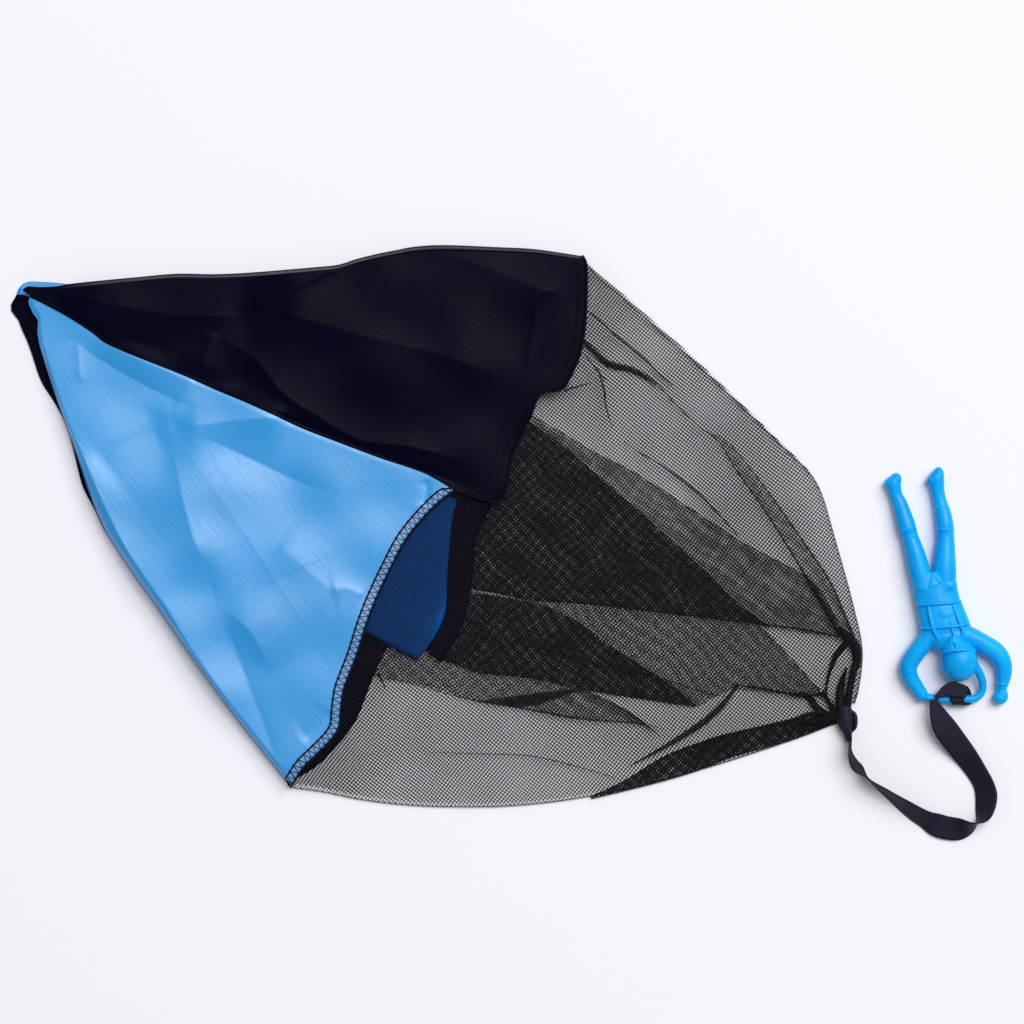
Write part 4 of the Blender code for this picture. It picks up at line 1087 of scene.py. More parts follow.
def net_strip(name, upper, lower, heights, material, columns=PLEAT_COLUMNS):
    """Layers of net between an upper and a lower line of the page, joined at the folds."""
    upper_line = curve_through(upper, PLEAT_ROWS)[:, None]
    lower_line = curve_through(lower, PLEAT_ROWS)[:, None]
    across = np.linspace(0, 1, columns)[None, :, None]
    one = upper_line + (lower_line - upper_line) * across
    runs, levels, metres = [], [], []
    for layer, height in enumerate(heights):
        run = one if layer % 2 == 0 else one[:, ::-1]
        runs.append(run)
        levels.append(np.full(columns, height))
        metres.append(turned_metres(run, LAYER_TURN * layer).reshape(run.shape))
    pixels = np.concatenate(runs, axis=1)
    points = place(pixels, np.concatenate(levels)[None, :])
    piece = add_piece(name, points.reshape(-1, 3), grid_faces(PLEAT_ROWS, pixels.shape[1]),
                      material, "canopy", slot="black_net",
                      cloth=np.concatenate(metres, axis=1).reshape(-1, 2))
    return piece


FOLD_A_PX = [(503, 398), (524, 411), (540, 420.6), (568, 436.6), (596, 453.5), (633, 472), (697, 513),
             (743, 543), (809, 579), (830, 608), (845, 638)]
FOLD_B_PX = [(490, 402), (518, 415), (541, 430), (568, 450), (595, 474), (643, 515), (702, 569), (743, 608),
             (772, 627)]
FOLD_H_PX = [(445, 586), (490, 592), (531, 600), (587, 604), (659, 612), (710, 618), (761, 624), (800, 629),
             (845, 638)]
net_strip("net_pleat_upper", FOLD_A_PX, [*FOLD_B_PX, *FOLD_H_PX[-1:]], PLEAT_HEIGHTS, net_pleated)
net_strip("net_pleat_upper_inner", FOLD_B_PX, [*FOLD_H_PX[:6], (745, 622), (772, 628)],
          PLEAT_HEIGHTS, net_dense)
net_strip("net_pleat_lower",
          [(430, 580), (470, 590), (531, 600), (587, 605), (659, 611), (710, 617), (758, 625), (790, 657),
           (819, 689), (838, 706)],
          [(425, 583), (470, 592), (531, 602), (556, 610), (582, 625), (633, 661), (669, 684), (696, 706),
           (715, 697), (738, 690), (780, 694), (812, 695), (836, 709)],
          PLEAT_HEIGHTS, net_turned)
net_strip("net_pleat_lower_left",
          [(415, 636), (440, 650), (462, 665), (480, 673), (531, 678), (582, 689), (620, 696)],
          [(350, 655), (374, 676), (393, 681), (416, 684.5), (446, 692), (478, 702), (520, 707), (556, 699),
           (582, 691), (620, 697)],
          PLEAT_HEIGHTS, net_turned)
net_strip("net_pleat_lower_inner",
          [(425, 583), (470, 592), (531, 602), (556, 610), (582, 625), (633, 661), (669, 684), (696, 706)],
          [(430, 655), (462, 667), (480, 673), (531, 678), (582, 689), (643, 699), (680, 705), (697, 707)],
          PLEAT_HEIGHTS, net_dense)
net_strip("net_pleat_corner",
          [(500, 698), (531, 694), (577, 689), (600, 697), (623, 709), (645, 724), (661, 737)],
          [(478, 701), (497, 704), (531, 710), (582, 719), (620, 722), (645, 727), (663, 738)],
          PLEAT_HEIGHTS, net_pleated, columns=12)

# %% Seam band, turned edge and soft folds
BAND_LEFT_PX = [(705, 430), (720, 443), (736, 470), (761, 505), (785, 542), (809, 582), (826, 611),
                (843, 640)]
BAND_RIGHT_PX = [(712, 433), (728, 442), (746, 463), (774, 500), (800, 537), (829, 580), (841, 606),
                 (856, 642)]
EDGE_ROLL_UPPER_PX = [(590, 797), (625, 781), (664, 757), (700, 743), (725, 735), (790, 720),
                      (808, 713.5), (833, 713)]
EDGE_ROLL_LOWER_PX = [(592, 799), (625, 791), (664, 781), (700, 770), (735, 756), (790, 740.4),
                      (815, 730.7), (837.7, 723)]
net_strip("net_seam_band", BAND_LEFT_PX, BAND_RIGHT_PX, BAND_HEIGHTS, net_turned, columns=8)
net_strip("net_turned_edge", EDGE_ROLL_UPPER_PX, EDGE_ROLL_LOWER_PX, ROLL_HEIGHTS, net_dense,
          columns=8)
net_strip("net_soft_fold",
          [(580, 333), (590, 343), (602, 354), (612, 361), (631, 366), (645, 373), (658, 384)],
          [(580, 339), (588, 349), (598, 359), (610, 368), (629, 372), (645, 379), (657, 386)],
          SOFT_FOLD_HEIGHTS, net_pleated, columns=6)

# %% [markdown]
# ## Fold lines
# Where the net turns back on itself its threads stand edge-on, so each fold shows as a thin dark
# line. A flat tube of crowded net along the fold gives that line a body.

# %% Fold lines
def fold_line(line, widths, lift, points=40):
    """A flat tube on the net along a line of the page: its widths are in pixels, from end to end."""
    pixels = curve_through(line, points)
    share = np.linspace(0, 1, points)
    width = np.interp(share, np.linspace(0, 1, len(widths)), widths) * PIXEL / 2
    height = net_top(pixels, level_height(EDGE_LEVEL)) + lift
    height = np.convolve(np.pad(height, 3, mode="edge"), np.ones(7) / 7, mode="valid")
    shape, faces = tube(place(pixels, height), width)
    centre = np.repeat(place(pixels, height), len(shape) // points, axis=0)
    shape[:, 2] = centre[:, 2] + (shape[:, 2] - centre[:, 2]) * 0.45
    return shape, faces


FOLD_LINES = [
    (FOLD_A_PX, (1.0, 1.0, 1.2, 1.2, 1.5)),
    (FOLD_B_PX, (0.8, 0.9, 0.9, 0.9, 0.3)),
    (FOLD_H_PX, (0.3, 1.0, 1.4, 1.4, 2.2)),
    ([(396, 679.6), (427, 688), (452, 695), (478, 701), (497, 704), (531, 710), (582, 719),
      (620, 722), (640, 723), (666, 730)], (0.6, 1.1, 1.4, 2.4, 1.8, 0.4)),
    ([(577, 689), (600, 697), (623, 709), (645, 724), (661, 737)], (0.5, 1.4, 2.2, 3.0, 1.0)),
    ([(478, 673), (531, 678), (582, 689), (643, 699), (697, 706)], (0.5, 0.9, 0.9, 1.2, 0.6)),
    ([(480, 638), (544, 648), (602, 666), (659, 678), (710, 694), (735, 697)],
     (0.4, 0.9, 1.0, 1.1, 0.6)),
    ([(582, 625), (633, 661), (669, 684), (697, 706.5)], (0.4, 0.9, 1.3, 1.2)),
    ([(630, 766), (659, 750), (684, 735), (710, 717), (730, 696), (738, 684)],
     (0.8, 3.0, 5.0, 6.5, 6.0, 2.0)),
    ([(733, 685), (760, 688), (790, 694), (812, 695), (824, 692.7)], (1.0, 2.2, 2.6, 3.0, 3.0)),
    ([(758, 625), (790, 657), (812, 683), (820, 690)], (0.4, 0.9, 1.4, 2.0)),
    ([(428, 752), (480, 754), (531, 756), (582, 768), (615, 778)], (0.4, 0.9, 1.0, 1.1, 0.5)),
    ([(624, 442), (640, 453), (664, 467), (697, 492), (722, 518), (740, 538)],
     (0.8, 1.6, 2.2, 2.2, 0.8)),
    ([(585, 309), (603, 324.4), (624, 342.6), (645, 359.4), (659, 373.5), (673, 386)],
     (1.2, 2.2, 2.4, 2.4, 2.2, 0.8)),
    ([(645, 375), (652, 379), (663.5, 390.3), (674.7, 403), (690, 418), (704, 431)],
     (0.7, 1.1, 1.3, 1.3, 1.2)),
    ([(582, 352.4), (596, 369), (603, 378), (609, 381)], (1.0, 1.6, 2.4, 0.8)),
    ([(598, 371), (603.8, 390), (606, 407), (611.6, 427)], (1.6, 2.6, 1.8, 0.6)),
    ([(563, 391.7), (575, 387.5), (592, 383)], (2.4, 2.2, 0.5)),
    ([(378, 673), (383, 682), (386, 690)], (3.0, 2.4, 0.6)),
    (BAND_LEFT_PX, (0.8, 1.6, 2.0, 2.4, 2.6)),
    (BAND_RIGHT_PX, (0.5, 1.4, 2.0, 2.4, 3.4)),
    (EDGE_ROLL_UPPER_PX, (0.8, 1.4, 2.0, 2.6, 3.4)),
    (EDGE_ROLL_LOWER_PX, (0.8, 1.0, 1.2, 1.5, 1.8)),
]
EDGE_LINES = [(NET_LOW_EDGE_PX, (1.0, 1.2, 1.2)), (NET_HIGH_EDGE_PX, (1.1, 1.1, 1.3, 1.5))]
fold_shapes = [fold_line(line, widths, 0.00010) for line, widths in FOLD_LINES]
fold_shapes += [fold_line(line, widths, 0.0, points=90) for line, widths in EDGE_LINES]
fold_points, fold_faces = join_shapes(fold_shapes)
add_piece("net_fold_lines", fold_points, fold_faces, net_folded, "canopy", slot="black_net",
          cloth=fold_points[:, :2])

# %% [markdown]
# ## The gather and the knot
# All of the net ends in a few thick strands at the knot. There the ribbon is folded over them and
# sewn, so the knot is a dark lump of net and ribbon that narrows into the ribbon.

# %% Gathered strands
def strand(line, widths, heights, points=50, sides=16, ribs=5, depth=0.10):
    """A bundle of gathered net: a flat tube with grooves that run along it."""
    pixels = curve_through(line, points)
    share = np.linspace(0, 1, points)
    width = np.interp(share, np.linspace(0, 1, len(widths)), widths) * PIXEL / 2
    tall = np.interp(share, np.linspace(0, 1, len(heights)), heights)
    run = np.gradient(pixels, axis=0)
    run /= np.linalg.norm(run, axis=1)[:, None]
    side = np.stack([run[:, 1], -run[:, 0]], axis=-1)
    turn = np.linspace(0, 2 * math.pi, sides, endpoint=False)
    groove = 1 + depth * np.sin(ribs * turn[None, :] + 5 * share[:, None])
    out = np.cos(turn)[None, :] * groove * width[:, None] / PIXEL
    ring = pixels[:, None] + side[:, None] * out[..., None]
    rise = (1 + np.sin(turn)[None, :] * groove) * tall[:, None] / 2
    shape = place(ring, rise).reshape(-1, 3)
    faces = grid_faces(points, sides, closed_columns=True)
    faces += [tuple(reversed(range(sides))), tuple(range((points - 1) * sides, points * sides))]
    return shape, faces


STRANDS = [
    ([(838, 628), (848, 637), (856, 648), (857.5, 660), (854, 672), (850.7, 688), (848, 704),
      (846, 712)], (5, 9, 10.5, 8.5, 7, 6.5, 7, 9), (0.0026, 0.0030, 0.0034, 0.0036, 0.0042)),
    ([(848.5, 642), (841, 650), (836, 657), (831, 670), (827.5, 684), (827, 695), (832, 710),
      (838, 716)], (7, 6.5, 5, 3.2, 2.4, 2.2, 2.4, 4), (0.0028, 0.0024, 0.0020, 0.0022, 0.0030)),
    ([(847, 668), (844, 677), (841, 690), (841, 702), (842, 712)], (1.5, 5, 8, 9, 10),
     (0.0020, 0.0026, 0.0032, 0.0042)),
    ([(790, 694), (806, 696), (815, 704.7), (820, 711), (832, 717)], (2, 5, 6.5, 7, 6),
     (0.0020, 0.0022, 0.0026, 0.0034)),
    ([(822, 692), (830, 702), (836, 712), (841, 718)], (2.5, 2.5, 3, 4),
     (0.0022, 0.0026, 0.0034)),
    ([(800, 723), (818, 722), (832, 718), (840, 716)], (4, 8, 10, 9), (0.0018, 0.0024, 0.0036)),
]
strand_points, strand_faces = join_shapes([strand(*one) for one in STRANDS])
add_piece("net_gather", strand_points, strand_faces, net_folded, "canopy", slot="black_net",
          cloth=strand_points[:, :2])

# %% Knot of ribbon
knot_shapes = [
    strand([(843, 706.5), (844.5, 711), (845.5, 718), (846.5, 726), (847.8, 733), (849, 741)],
           (12, 16.5, 18, 14, 8.5, 6.5), (0.0044, 0.0058, 0.0062, 0.0062, 0.0060, 0.0052),
           sides=24, ribs=4, depth=0.05),
    strand([(850, 711), (854, 714), (855.3, 720), (854.6, 727), (851.5, 731.5)], (3, 5, 5.2, 5, 3),
           (0.0040, 0.0052, 0.0055, 0.0052, 0.0044), sides=16, ribs=3, depth=0.03),
]
knot_points, knot_faces = join_shapes(knot_shapes)
add_piece("knot_of_ribbon", knot_points, knot_faces, grosgrain, "canopy", "gather_knot",
          "black_ribbon", cloth=knot_points[:, :2])

# %% [markdown]
# ## The ribbon
# One flat ribbon leaves the knot standing on its edge, lies down at the bend, leans over after it,
# and lies flat and turned over where it reaches the loop. Each station of its route gives the page's
# pixel, the height of the ribbon's middle, how far it is tilted, and how much of its width it keeps
# where it is pinched.

# %% Ribbon
RIBBON_WIDTH = 0.0094
RIBBON_THICKNESS = 0.0005
RIBBON_POINTS = 220
RIBBON_COLUMNS = 9
RIBBON_ROUTE_SHARES = [
    (848.1, 728.6, 0.36, 90, 0.60),
    (849.9, 738.0, 0.46, 90, 0.80),
    (849.7, 749.0, 0.52, 90, 0.96),
    (852.2, 759.0, 0.52, 78, 1.00),
    (857.6, 768.2, 0.50, 68, 1.00),
    (866.6, 777.6, 0.53, 88, 1.00),
    (882.8, 790.0, 0.52, 76, 1.00),
    (893.4, 797.8, 0.50, 68, 1.00),
    (904.0, 805.5, 0.46, 58, 1.00),
    (915.4, 813.4, 0.42, 49, 1.00),
    (926.6, 819.8, 0.37, 40, 1.00),
    (938.0, 825.4, 0.20, 10, 1.00),
    (947.5, 828.2, 0.17, 6, 1.00),
    (958.9, 829.3, 0.24, 18, 1.00),
    (968.8, 827.6, 0.43, 50, 1.00),
    (976.0, 823.0, 0.53, 80, 1.00),
    (982.0, 815.5, 0.48, 118, 1.00),
    (985.2, 806.0, 0.40, 136, 1.00),
    (986.3, 795.0, 0.34, 146, 1.00),
    (983.6, 784.6, 0.36, 142, 1.00),
    (978.4, 774.8, 0.36, 142, 1.00),
    (970.2, 762.0, 0.32, 151, 1.00),
    (962.8, 751.8, 0.30, 166, 1.00),
    (952.2, 738.4, 0.46, 176, 1.04),
    (943.0, 725.6, 0.62, 180, 1.00),
    (936.8, 713.0, 0.70, 180, 0.72),
    (933.6, 704.0, 0.70, 180, 0.44),
    (932.6, 699.0, 0.70, 180, 0.34),
]
route = curve_through(RIBBON_ROUTE_SHARES, RIBBON_POINTS)
ribbon_path = place(route[:, :2], route[:, 2] * RIBBON_WIDTH)
run = np.gradient(ribbon_path, axis=0)
side = np.stack([-run[:, 1], run[:, 0], np.zeros(RIBBON_POINTS)], axis=-1)
side /= np.linalg.norm(side, axis=1)[:, None]
tilt = np.radians(route[:, 3])[:, None]
lean = side * np.cos(tilt) + np.array((0.0, 0.0, 1.0)) * np.sin(tilt)
half = (route[:, 4] * RIBBON_WIDTH / 2)[:, None]
metres_along = np.concatenate([[0.0], np.cumsum(np.linalg.norm(np.diff(ribbon_path, axis=0), axis=1))])
columns = np.linspace(-1, 1, RIBBON_COLUMNS)
ribbon_points = ribbon_path[:, None] + (lean * half)[:, None] * columns[None, :, None]
ribbon_cloth = np.stack(np.broadcast_arrays(
    (route[:, 4:5] * RIBBON_WIDTH / 2) * columns[None, :], metres_along[:, None]), axis=-1)
ribbon = add_piece("ribbon_tether", ribbon_points.reshape(-1, 3),
                   grid_faces(RIBBON_POINTS, RIBBON_COLUMNS), grosgrain, "tether", "ribbon",
                   "black_ribbon", ribbon_cloth.reshape(-1, 2))
add_thickness(ribbon, RIBBON_THICKNESS)

# %% [markdown]
# ## The loop round the ring
# The ribbon's end is sewn into a loop round the ring over the parachutist's head. The loop is a
# closed band, wide where it lies over the rod, with a tail under the end of the tether.

# %% Loop
FIGURE_HEIGHT = 0.0860
RING_PX = (963, 699)
FIGURE_PIXEL = FIGURE_HEIGHT / (681 - 465)
AXIS_HEIGHT_PX = 8.6
RING_ROD = 0.0031
LOOP_WIDTH = 0.0056
LOOP_REACH = 0.0070
LOOP_SWELL = 0.34
LOOP_CUP = 0.022
LOOP_SLANT_SHARE = 0.6
LOOP_SKEW = 0.0020
LOOP_SHIFT = -0.0007
LOOP_SHEET = 0.0006


def figure_place(pixels, heights):
    """As place does, but in the parachutist's own scale, which keeps the ring in the loop."""
    ring = place(RING_PX, 0.0)
    pixels = np.asarray(pixels, float)
    across = (pixels[..., 0] - RING_PX[0]) * FIGURE_PIXEL
    along = (RING_PX[1] - pixels[..., 1]) * FIGURE_PIXEL
    return ring + np.stack(np.broadcast_arrays(across, along, np.asarray(heights) * FIGURE_PIXEL), -1)


LOOP_TURNS = 72
LOOP_COLUMNS = 13
axis_point = figure_place(RING_PX, AXIS_HEIGHT_PX)
inner = RING_ROD / 2 + 0.0003 + LOOP_SHEET / 2
turn = np.linspace(0, 2 * math.pi, LOOP_TURNS, endpoint=False)[:, None]
width_share = np.linspace(-0.5, 0.5, LOOP_COLUMNS)[None, :]
out = np.maximum(0.0, np.cos(turn))
slant = 1 - LOOP_SLANT_SHARE * (width_share + 0.5)
reach = inner + (LOOP_REACH - inner) * slant * out ** 2
rise = np.sin(turn) * inner * (1 + LOOP_SWELL * out)
cupped = reach * (1 - LOOP_CUP * out * (1 - (2 * width_share) ** 2))
loop_points = axis_point + np.stack(np.broadcast_arrays(
    LOOP_SHIFT + LOOP_WIDTH * width_share - LOOP_SKEW * np.sin(turn),
    np.cos(turn) * cupped, rise), axis=-1)
loop_cloth = np.stack(np.broadcast_arrays(LOOP_WIDTH * width_share, turn * inner), axis=-1)
loop = add_piece("loop_band", loop_points.reshape(-1, 3),
                 grid_faces(LOOP_TURNS, LOOP_COLUMNS, closed_rows=True), grosgrain, "loop",
                 "ribbon_loop", "black_ribbon", loop_cloth.reshape(-1, 2))
add_thickness(loop, LOOP_SHEET)

LOOP_TAIL_SHARES = [
    (966, 692, 1.3, 0.50), (958, 690, 2.2, 0.62), (950, 689, 2.2, 0.64), (943, 691.4, 1.6, 0.42),
    (938, 694.6, 1.6, 0.26), (934.6, 696.8, 1.5, 0.20),
]
TAIL_POINTS = 40
TAIL_COLUMNS = 7
tail = curve_through(LOOP_TAIL_SHARES, TAIL_POINTS)
skin = float(axis_point[2]) + RING_ROD / 2 + 0.0003
middle = figure_place(tail[:, :2], 0.0) + np.stack(
    [np.zeros(TAIL_POINTS), np.zeros(TAIL_POINTS), skin + tail[:, 2] * LOOP_SHEET], axis=-1)
run = np.gradient(middle, axis=0)
side = np.stack([-run[:, 1], run[:, 0], np.zeros(TAIL_POINTS)], axis=-1)
side /= np.linalg.norm(side, axis=1)[:, None]
half = (tail[:, 3] * RIBBON_WIDTH / 2)[:, None]
columns = np.linspace(-1, 1, TAIL_COLUMNS)
tail_points = middle[:, None] + (side * half)[:, None] * columns[None, :, None]
tail_run = np.concatenate([[0.0], np.cumsum(np.linalg.norm(np.diff(middle, axis=0), axis=1))])
tail_cloth = np.stack(np.broadcast_arrays(half * columns[None, :], tail_run[:, None]), axis=-1)
tail_piece = add_piece("loop_tail", tail_points.reshape(-1, 3), grid_faces(TAIL_POINTS, TAIL_COLUMNS),
                       grosgrain, "loop", "ribbon_loop", "black_ribbon", tail_cloth.reshape(-1, 2))
add_thickness(tail_piece, LOOP_SHEET)

# %% [markdown]
# ## The parachutist
# It is one moulding: limbs, body and head run into each other. Each limb is a tube whose rings are
# flattened ellipses, each rounded mass is an ellipsoid, and a fine remesh melts them into one skin.
# Thin beads give the belt, the straps, the boots' tops and the rim over the face.

# %% Stations of the limbs
# Each station: pixel across, pixel down, height, half width and half height, in figure pixels
LEFT_LEG_PX = [
    (897.2, 474.5, 8.4, 3.4, 4.4), (895.6, 477.0, 8.4, 5.2, 6.0), (893.2, 482.0, 8.4, 7.6, 7.4),
    (894.2, 488.5, 8.2, 6.9, 7.0), (896.0, 495.0, 8.0, 6.5, 6.6), (899.4, 503.0, 8.2, 7.6, 7.4),
    (904.0, 518.0, 9.2, 8.8, 8.6), (906.8, 527.6, 9.8, 9.2, 9.2), (909.4, 536.0, 9.6, 8.6, 8.8),
    (914.4, 553.0, 10.8, 10.0, 10.2), (918.8, 570.7, 11.4, 11.0, 11.0),
    (924.0, 590.0, 12.0, 11.0, 10.6),
]
RIGHT_LEG_PX = [
    (939.8, 468.6, 8.4, 3.6, 4.4), (938.4, 471.6, 8.4, 5.6, 6.2), (936.4, 478.0, 8.4, 8.0, 7.6),
    (937.0, 486.0, 8.0, 7.2, 7.2), (938.2, 494.0, 7.8, 6.8, 6.8), (940.2, 502.0, 8.0, 7.0, 7.2),
    (942.6, 512.0, 8.8, 8.2, 8.2), (944.4, 524.0, 9.8, 8.8, 9.0), (945.2, 536.0, 9.6, 8.8, 8.8),
    (944.6, 553.0, 10.6, 10.4, 10.2), (943.8, 570.7, 11.6, 12.0, 11.0),
    (943.0, 590.0, 12.0, 12.0, 10.6),
]
TORSO_PX = [
    (932.5, 572.0, 11.8, 16.0, 8.0), (933.2, 579.0, 12.0, 20.6, 10.4),
    (934.2, 588.0, 12.0, 22.4, 11.0), (937.2, 601.7, 12.4, 22.4, 11.2),
    (940.2, 612.0, 12.8, 23.4, 11.8), (943.2, 622.4, 13.2, 24.6, 12.2),
    (945.4, 631.0, 13.0, 25.2, 11.8), (947.6, 640.0, 13.0, 20.0, 10.6),
    (950.0, 648.0, 14.0, 11.0, 10.0),
]
LEFT_ARM_PX = [
    (930.0, 634.0, 13.0, 9.4, 9.4), (919.6, 647.0, 12.2, 9.2, 9.2), (911.6, 658.0, 11.2, 9.0, 9.2),
    (907.6, 668.5, 10.4, 8.8, 9.0), (911.0, 679.0, 9.4, 8.0, 8.2), (917.0, 688.0, 8.8, 7.2, 7.4),
    (921.6, 694.4, 8.4, 6.2, 6.6),
]
RIGHT_ARM_PX = [
    (964.0, 634.0, 13.0, 10.4, 10.4), (981.0, 642.4, 12.2, 9.8, 9.8), (996.0, 652.4, 11.0, 9.8, 9.6),
    (1003.0, 664.0, 10.0, 8.8, 8.8), (1003.6, 676.0, 9.0, 7.6, 7.8), (1002.2, 686.0, 8.4, 5.6, 6.2),
    (1001.4, 691.0, 8.2, 5.0, 5.8), (1001.0, 696.0, 8.2, 7.2, 6.8), (1000.4, 701.0, 8.2, 5.0, 5.0),
]
SHOULDERS_PX = [
    (927.0, 636.0, 12.8, 9.0, 9.4), (946.0, 636.0, 13.8, 11.0, 11.4), (967.0, 633.0, 12.8, 9.6, 9.8),
]
ROD_RADIUS_PX = 3.9
HOOK_PX = [(x, y, height, share * ROD_RADIUS_PX, share * ROD_RADIUS_PX) for x, y, height, share in (
    (967, 657, 17, 1.22), (974.5, 666.5, 15.4, 1.14), (979.8, 675.5, 13, 1.08), (982.4, 684, 10.6, 1.02),
    (981.4, 692, 9.0, 1.0), (977, 697, 8.6, 1.0), (971, 699, 8.6, 1.0), (955, 699, 8.6, 1.0),
    (941, 699, 8.6, 1.0), (926, 697, 8.6, 1.0))]

# %% Rounded masses, beads and the face
# Each mass: pixel across, pixel down, height, then its three radii, in figure pixels
MASSES_PX = [
    (889.8, 482.6, 7.6, 6.0, 5.6, 7.0), (895.6, 478.2, 8.4, 5.8, 6.6, 7.0),
    (932.6, 480.0, 7.6, 6.2, 6.0, 7.0), (938.2, 473.4, 8.4, 5.6, 7.6, 7.0),
    (921.0, 693.6, 8.6, 6.4, 7.6, 6.8), (1000.4, 697.4, 8.2, 7.8, 6.8, 7.0),
    (1003.6, 694.4, 9.0, 4.6, 4.8, 6.4), (957.8, 660.6, 17.4, 18.6, 20.2, 16.8),
    (952.6, 648.0, 18.6, 13.4, 11.0, 12.6), (951.6, 640.4, 22.6, 7.4, 6.4, 6.8),
    (932.4, 583.6, 17.0, 7.6, 8.4, 6.6), (943.0, 614.0, 17.4, 14.0, 12.0, 8.2),
    (947.0, 585.0, 13.6, 9.6, 9.0, 9.4), (920.6, 586.0, 13.6, 8.4, 9.0, 9.0),
]
FACE_PX = [
    (952.4, 643.6, 30.6, 1.5, 2.6, 2.2), (948.4, 645.2, 29.4, 1.9, 1.2, 1.5),
    (956.4, 644.6, 29.4, 1.9, 1.2, 1.5), (948.6, 647.4, 29.9, 3.0, 0.9, 1.3),
    (956.8, 646.7, 29.9, 3.0, 0.9, 1.3), (951.8, 640.5, 28.6, 2.5, 0.7, 1.0),
    (951.7, 639.1, 28.0, 2.0, 0.8, 1.1), (951.3, 636.4, 26.4, 2.4, 1.8, 2.0),
]
# Each bead: line of pixels with heights, and the bead's radius
BEADS_PX = [
    ([(915.4, 604.0, 12.0), (917.5, 604.4, 18.6), (925.0, 603.6, 23.2), (938.0, 602.6, 24.5),
      (951.0, 601.6, 23.0), (958.4, 600.4, 17.6), (960.0, 600.0, 12.0)], 1.5),
    ([(919.4, 627.4, 13.0), (921.4, 627.6, 20.0), (931.0, 627.0, 24.8), (944.0, 625.8, 26.3),
      (958.0, 624.6, 24.6), (966.4, 623.0, 19.6), (968.2, 622.4, 13.0)], 1.4),
    ([(938.8, 642.0, 22.0), (934.6, 636.0, 23.8), (930.6, 627.0, 24.8), (927.6, 614.0, 23.6),
      (925.4, 603.6, 22.6)], 1.7),
    ([(958.4, 640.0, 23.6), (960.4, 633.0, 24.0), (958.6, 624.6, 24.8), (953.8, 612.0, 23.8),
      (950.0, 601.8, 22.8)], 1.7),
    ([(952.4, 637.4, 27.4), (950.0, 630.0, 26.8), (948.0, 620.0, 25.8)], 0.9),
    ([(925.4, 591.4, 21.4), (929.4, 584.0, 22.6), (932.8, 576.8, 21.4), (937.4, 580.4, 22.4),
      (941.6, 585.2, 21.6)], 1.0),
    ([(893.8, 508.4, 8.0), (896.0, 508.0, 13.4), (900.6, 506.6, 15.4), (905.6, 505.0, 13.2),
      (907.6, 504.4, 8.0)], 1.0),
    ([(934.2, 506.4, 8.2), (936.2, 506.6, 13.6), (941.4, 506.4, 15.4), (946.4, 506.0, 13.6),
      (948.4, 505.8, 8.2)], 1.0),
    ([(898.6, 531.4, 9.8), (901.0, 530.8, 16.0), (907.0, 529.0, 18.6), (913.2, 526.8, 16.0),
      (915.6, 526.0, 9.8)], 1.2),
    ([(936.6, 528.6, 9.8), (939.0, 529.0, 16.2), (945.0, 528.8, 18.2), (951.0, 528.0, 16.0),
      (953.4, 527.6, 9.8)], 1.2),
    ([(907.4, 538.2, 16.4), (911.4, 536.4, 18.0), (915.4, 534.6, 16.6)], 0.8),
    ([(945.4, 537.0, 18.0), (949.6, 536.4, 16.6), (952.4, 535.6, 13.4)], 0.8),
    ([(903.6, 668.6, 17.0), (908.6, 670.8, 19.0), (914.6, 672.6, 15.6)], 0.8),
    ([(994.0, 681.6, 8.6), (997.4, 683.2, 14.4), (1002.4, 684.0, 15.6), (1007.4, 683.4, 12.0)], 1.0),
    ([(939.4, 653.0, 18.0), (941.4, 651.6, 25.4), (946.4, 650.0, 30.6), (952.6, 649.0, 32.8),
      (959.4, 648.6, 32.2), (967.4, 648.8, 27.6), (972.6, 650.0, 21.0), (974.4, 651.2, 15.0)], 1.9),
]


# %% Parachutist
FIGURE_GRAIN = 0.00030
FINE_GRAIN = 0.00020
BODY_SMOOTHING = 7
FINE_SMOOTHING = 3
RING_SIDES = 20


def flat_tube(stations, points):
    """A closed tube of ellipses along stations: across, down, height, half width, half height."""
    line = curve_through(stations, points)
    middle = figure_place(line[:, :2], line[:, 2])
    run = np.gradient(middle, axis=0)
    run /= np.linalg.norm(run, axis=1)[:, None]
    side = np.stack([-run[:, 1], run[:, 0], np.zeros(points)], axis=-1)
    side /= np.linalg.norm(side, axis=1)[:, None]
    over = np.cross(run, side)
    turn = np.linspace(0, 2 * math.pi, RING_SIDES, endpoint=False)
    rings = (middle[:, None] +
             side[:, None] * (np.cos(turn)[None, :] * line[:, 3:4] * FIGURE_PIXEL)[..., None] +
             over[:, None] * (np.sin(turn)[None, :] * line[:, 4:5] * FIGURE_PIXEL)[..., None])
    faces = grid_faces(points, RING_SIDES, closed_columns=True)
    faces += [tuple(reversed(range(RING_SIDES))),
              tuple(range((points - 1) * RING_SIDES, points * RING_SIDES))]
    return rings.reshape(-1, 3), faces


def ellipsoid(mass, rings=14, sides=22):
    """A closed ellipsoid: pixel across, pixel down, height, and its three radii."""
    across, down, height, *radii = mass
    centre = figure_place((across, down), height)
    up = np.linspace(0, math.pi, rings + 2)[1:-1, None]
    turn = np.linspace(0, 2 * math.pi, sides, endpoint=False)[None, :]
    shape = np.stack(np.broadcast_arrays(np.sin(up) * np.cos(turn), np.sin(up) * np.sin(turn),
                                         np.cos(up)), axis=-1).reshape(-1, 3)
    shape = np.concatenate([shape, [(0, 0, 1), (0, 0, -1)]])
    faces = [tuple(reversed(face)) for face in grid_faces(rings, sides, closed_columns=True)]
    top, bottom = rings * sides, rings * sides + 1
    last = (rings - 1) * sides
    for side in range(sides):
        after = (side + 1) % sides
        faces.append((top, side, after))
        faces.append((bottom, last + after, last + side))
    return centre + shape * np.array(radii) * FIGURE_PIXEL, faces


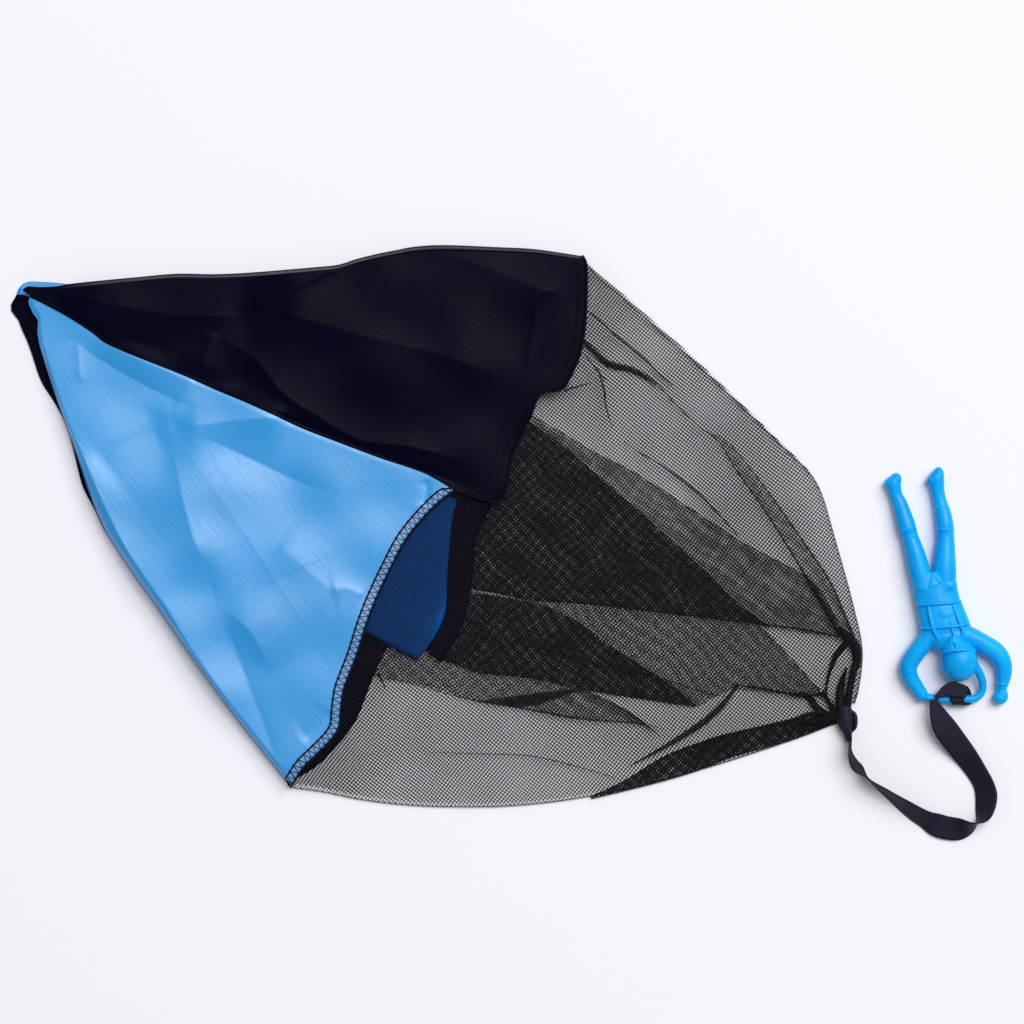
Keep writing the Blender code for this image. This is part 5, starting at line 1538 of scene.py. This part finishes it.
def bead_tube(line, radius):
    """A thin closed bead along a line of the figure."""
    stations = [(*point, radius, radius) for point in line]
    stations[0] = (*stations[0][:3], radius * 0.4, radius * 0.4)
    stations[-1] = (*stations[-1][:3], radius * 0.4, radius * 0.4)
    return flat_tube(stations, 40)


def melt(thing, grain, smoothing):
    """Remeshes a piece into one skin and smooths it a little."""
    skin = thing.modifiers.new("Melt", "REMESH")
    skin.mode = "VOXEL"
    skin.voxel_size = grain
    skin.use_smooth_shade = True
    soft = thing.modifiers.new("Soften", "SMOOTH")
    soft.iterations = smoothing
    graph = bpy.context.evaluated_depsgraph_get()
    mesh = bpy.data.meshes.new_from_object(thing.evaluated_get(graph))
    thing.modifiers.clear()
    thing.data = mesh


body_shapes = [flat_tube(stations, 60) for stations in
               (LEFT_LEG_PX, RIGHT_LEG_PX, TORSO_PX, LEFT_ARM_PX, RIGHT_ARM_PX, SHOULDERS_PX)]
body_shapes += [ellipsoid(mass) for mass in MASSES_PX]
body_points, body_faces = join_shapes(body_shapes)
holder = bpy.data.objects.new("body_holder", bpy.data.meshes.new("body_holder"))
holder.data.from_pydata(body_points.tolist(), [], body_faces)
bpy.context.scene.collection.objects.link(holder)
melt(holder, FIGURE_GRAIN, BODY_SMOOTHING)
smooth_points = np.array([v.co for v in holder.data.vertices])
smooth_faces = [tuple(f.vertices) for f in holder.data.polygons]
bpy.data.objects.remove(holder, do_unlink=True)

detail_shapes = [(smooth_points, smooth_faces), flat_tube(HOOK_PX, 70)]
detail_shapes += [bead_tube(line, radius) for line, radius in BEADS_PX]
detail_shapes += [ellipsoid(mass) for mass in FACE_PX]
figure_points, figure_faces = join_shapes(detail_shapes)
figure = add_piece("parachutist_moulding", figure_points, figure_faces, plastic, "parachutist",
                   "figure", "blue_plastic")
melt(figure, FINE_GRAIN, FINE_SMOOTHING)
figure.data.materials.clear()
figure.data.materials.append(plastic)
for polygon in figure.data.polygons:
    polygon.use_smooth = True
print(f"parachutist: {len(figure.data.polygons)} faces")
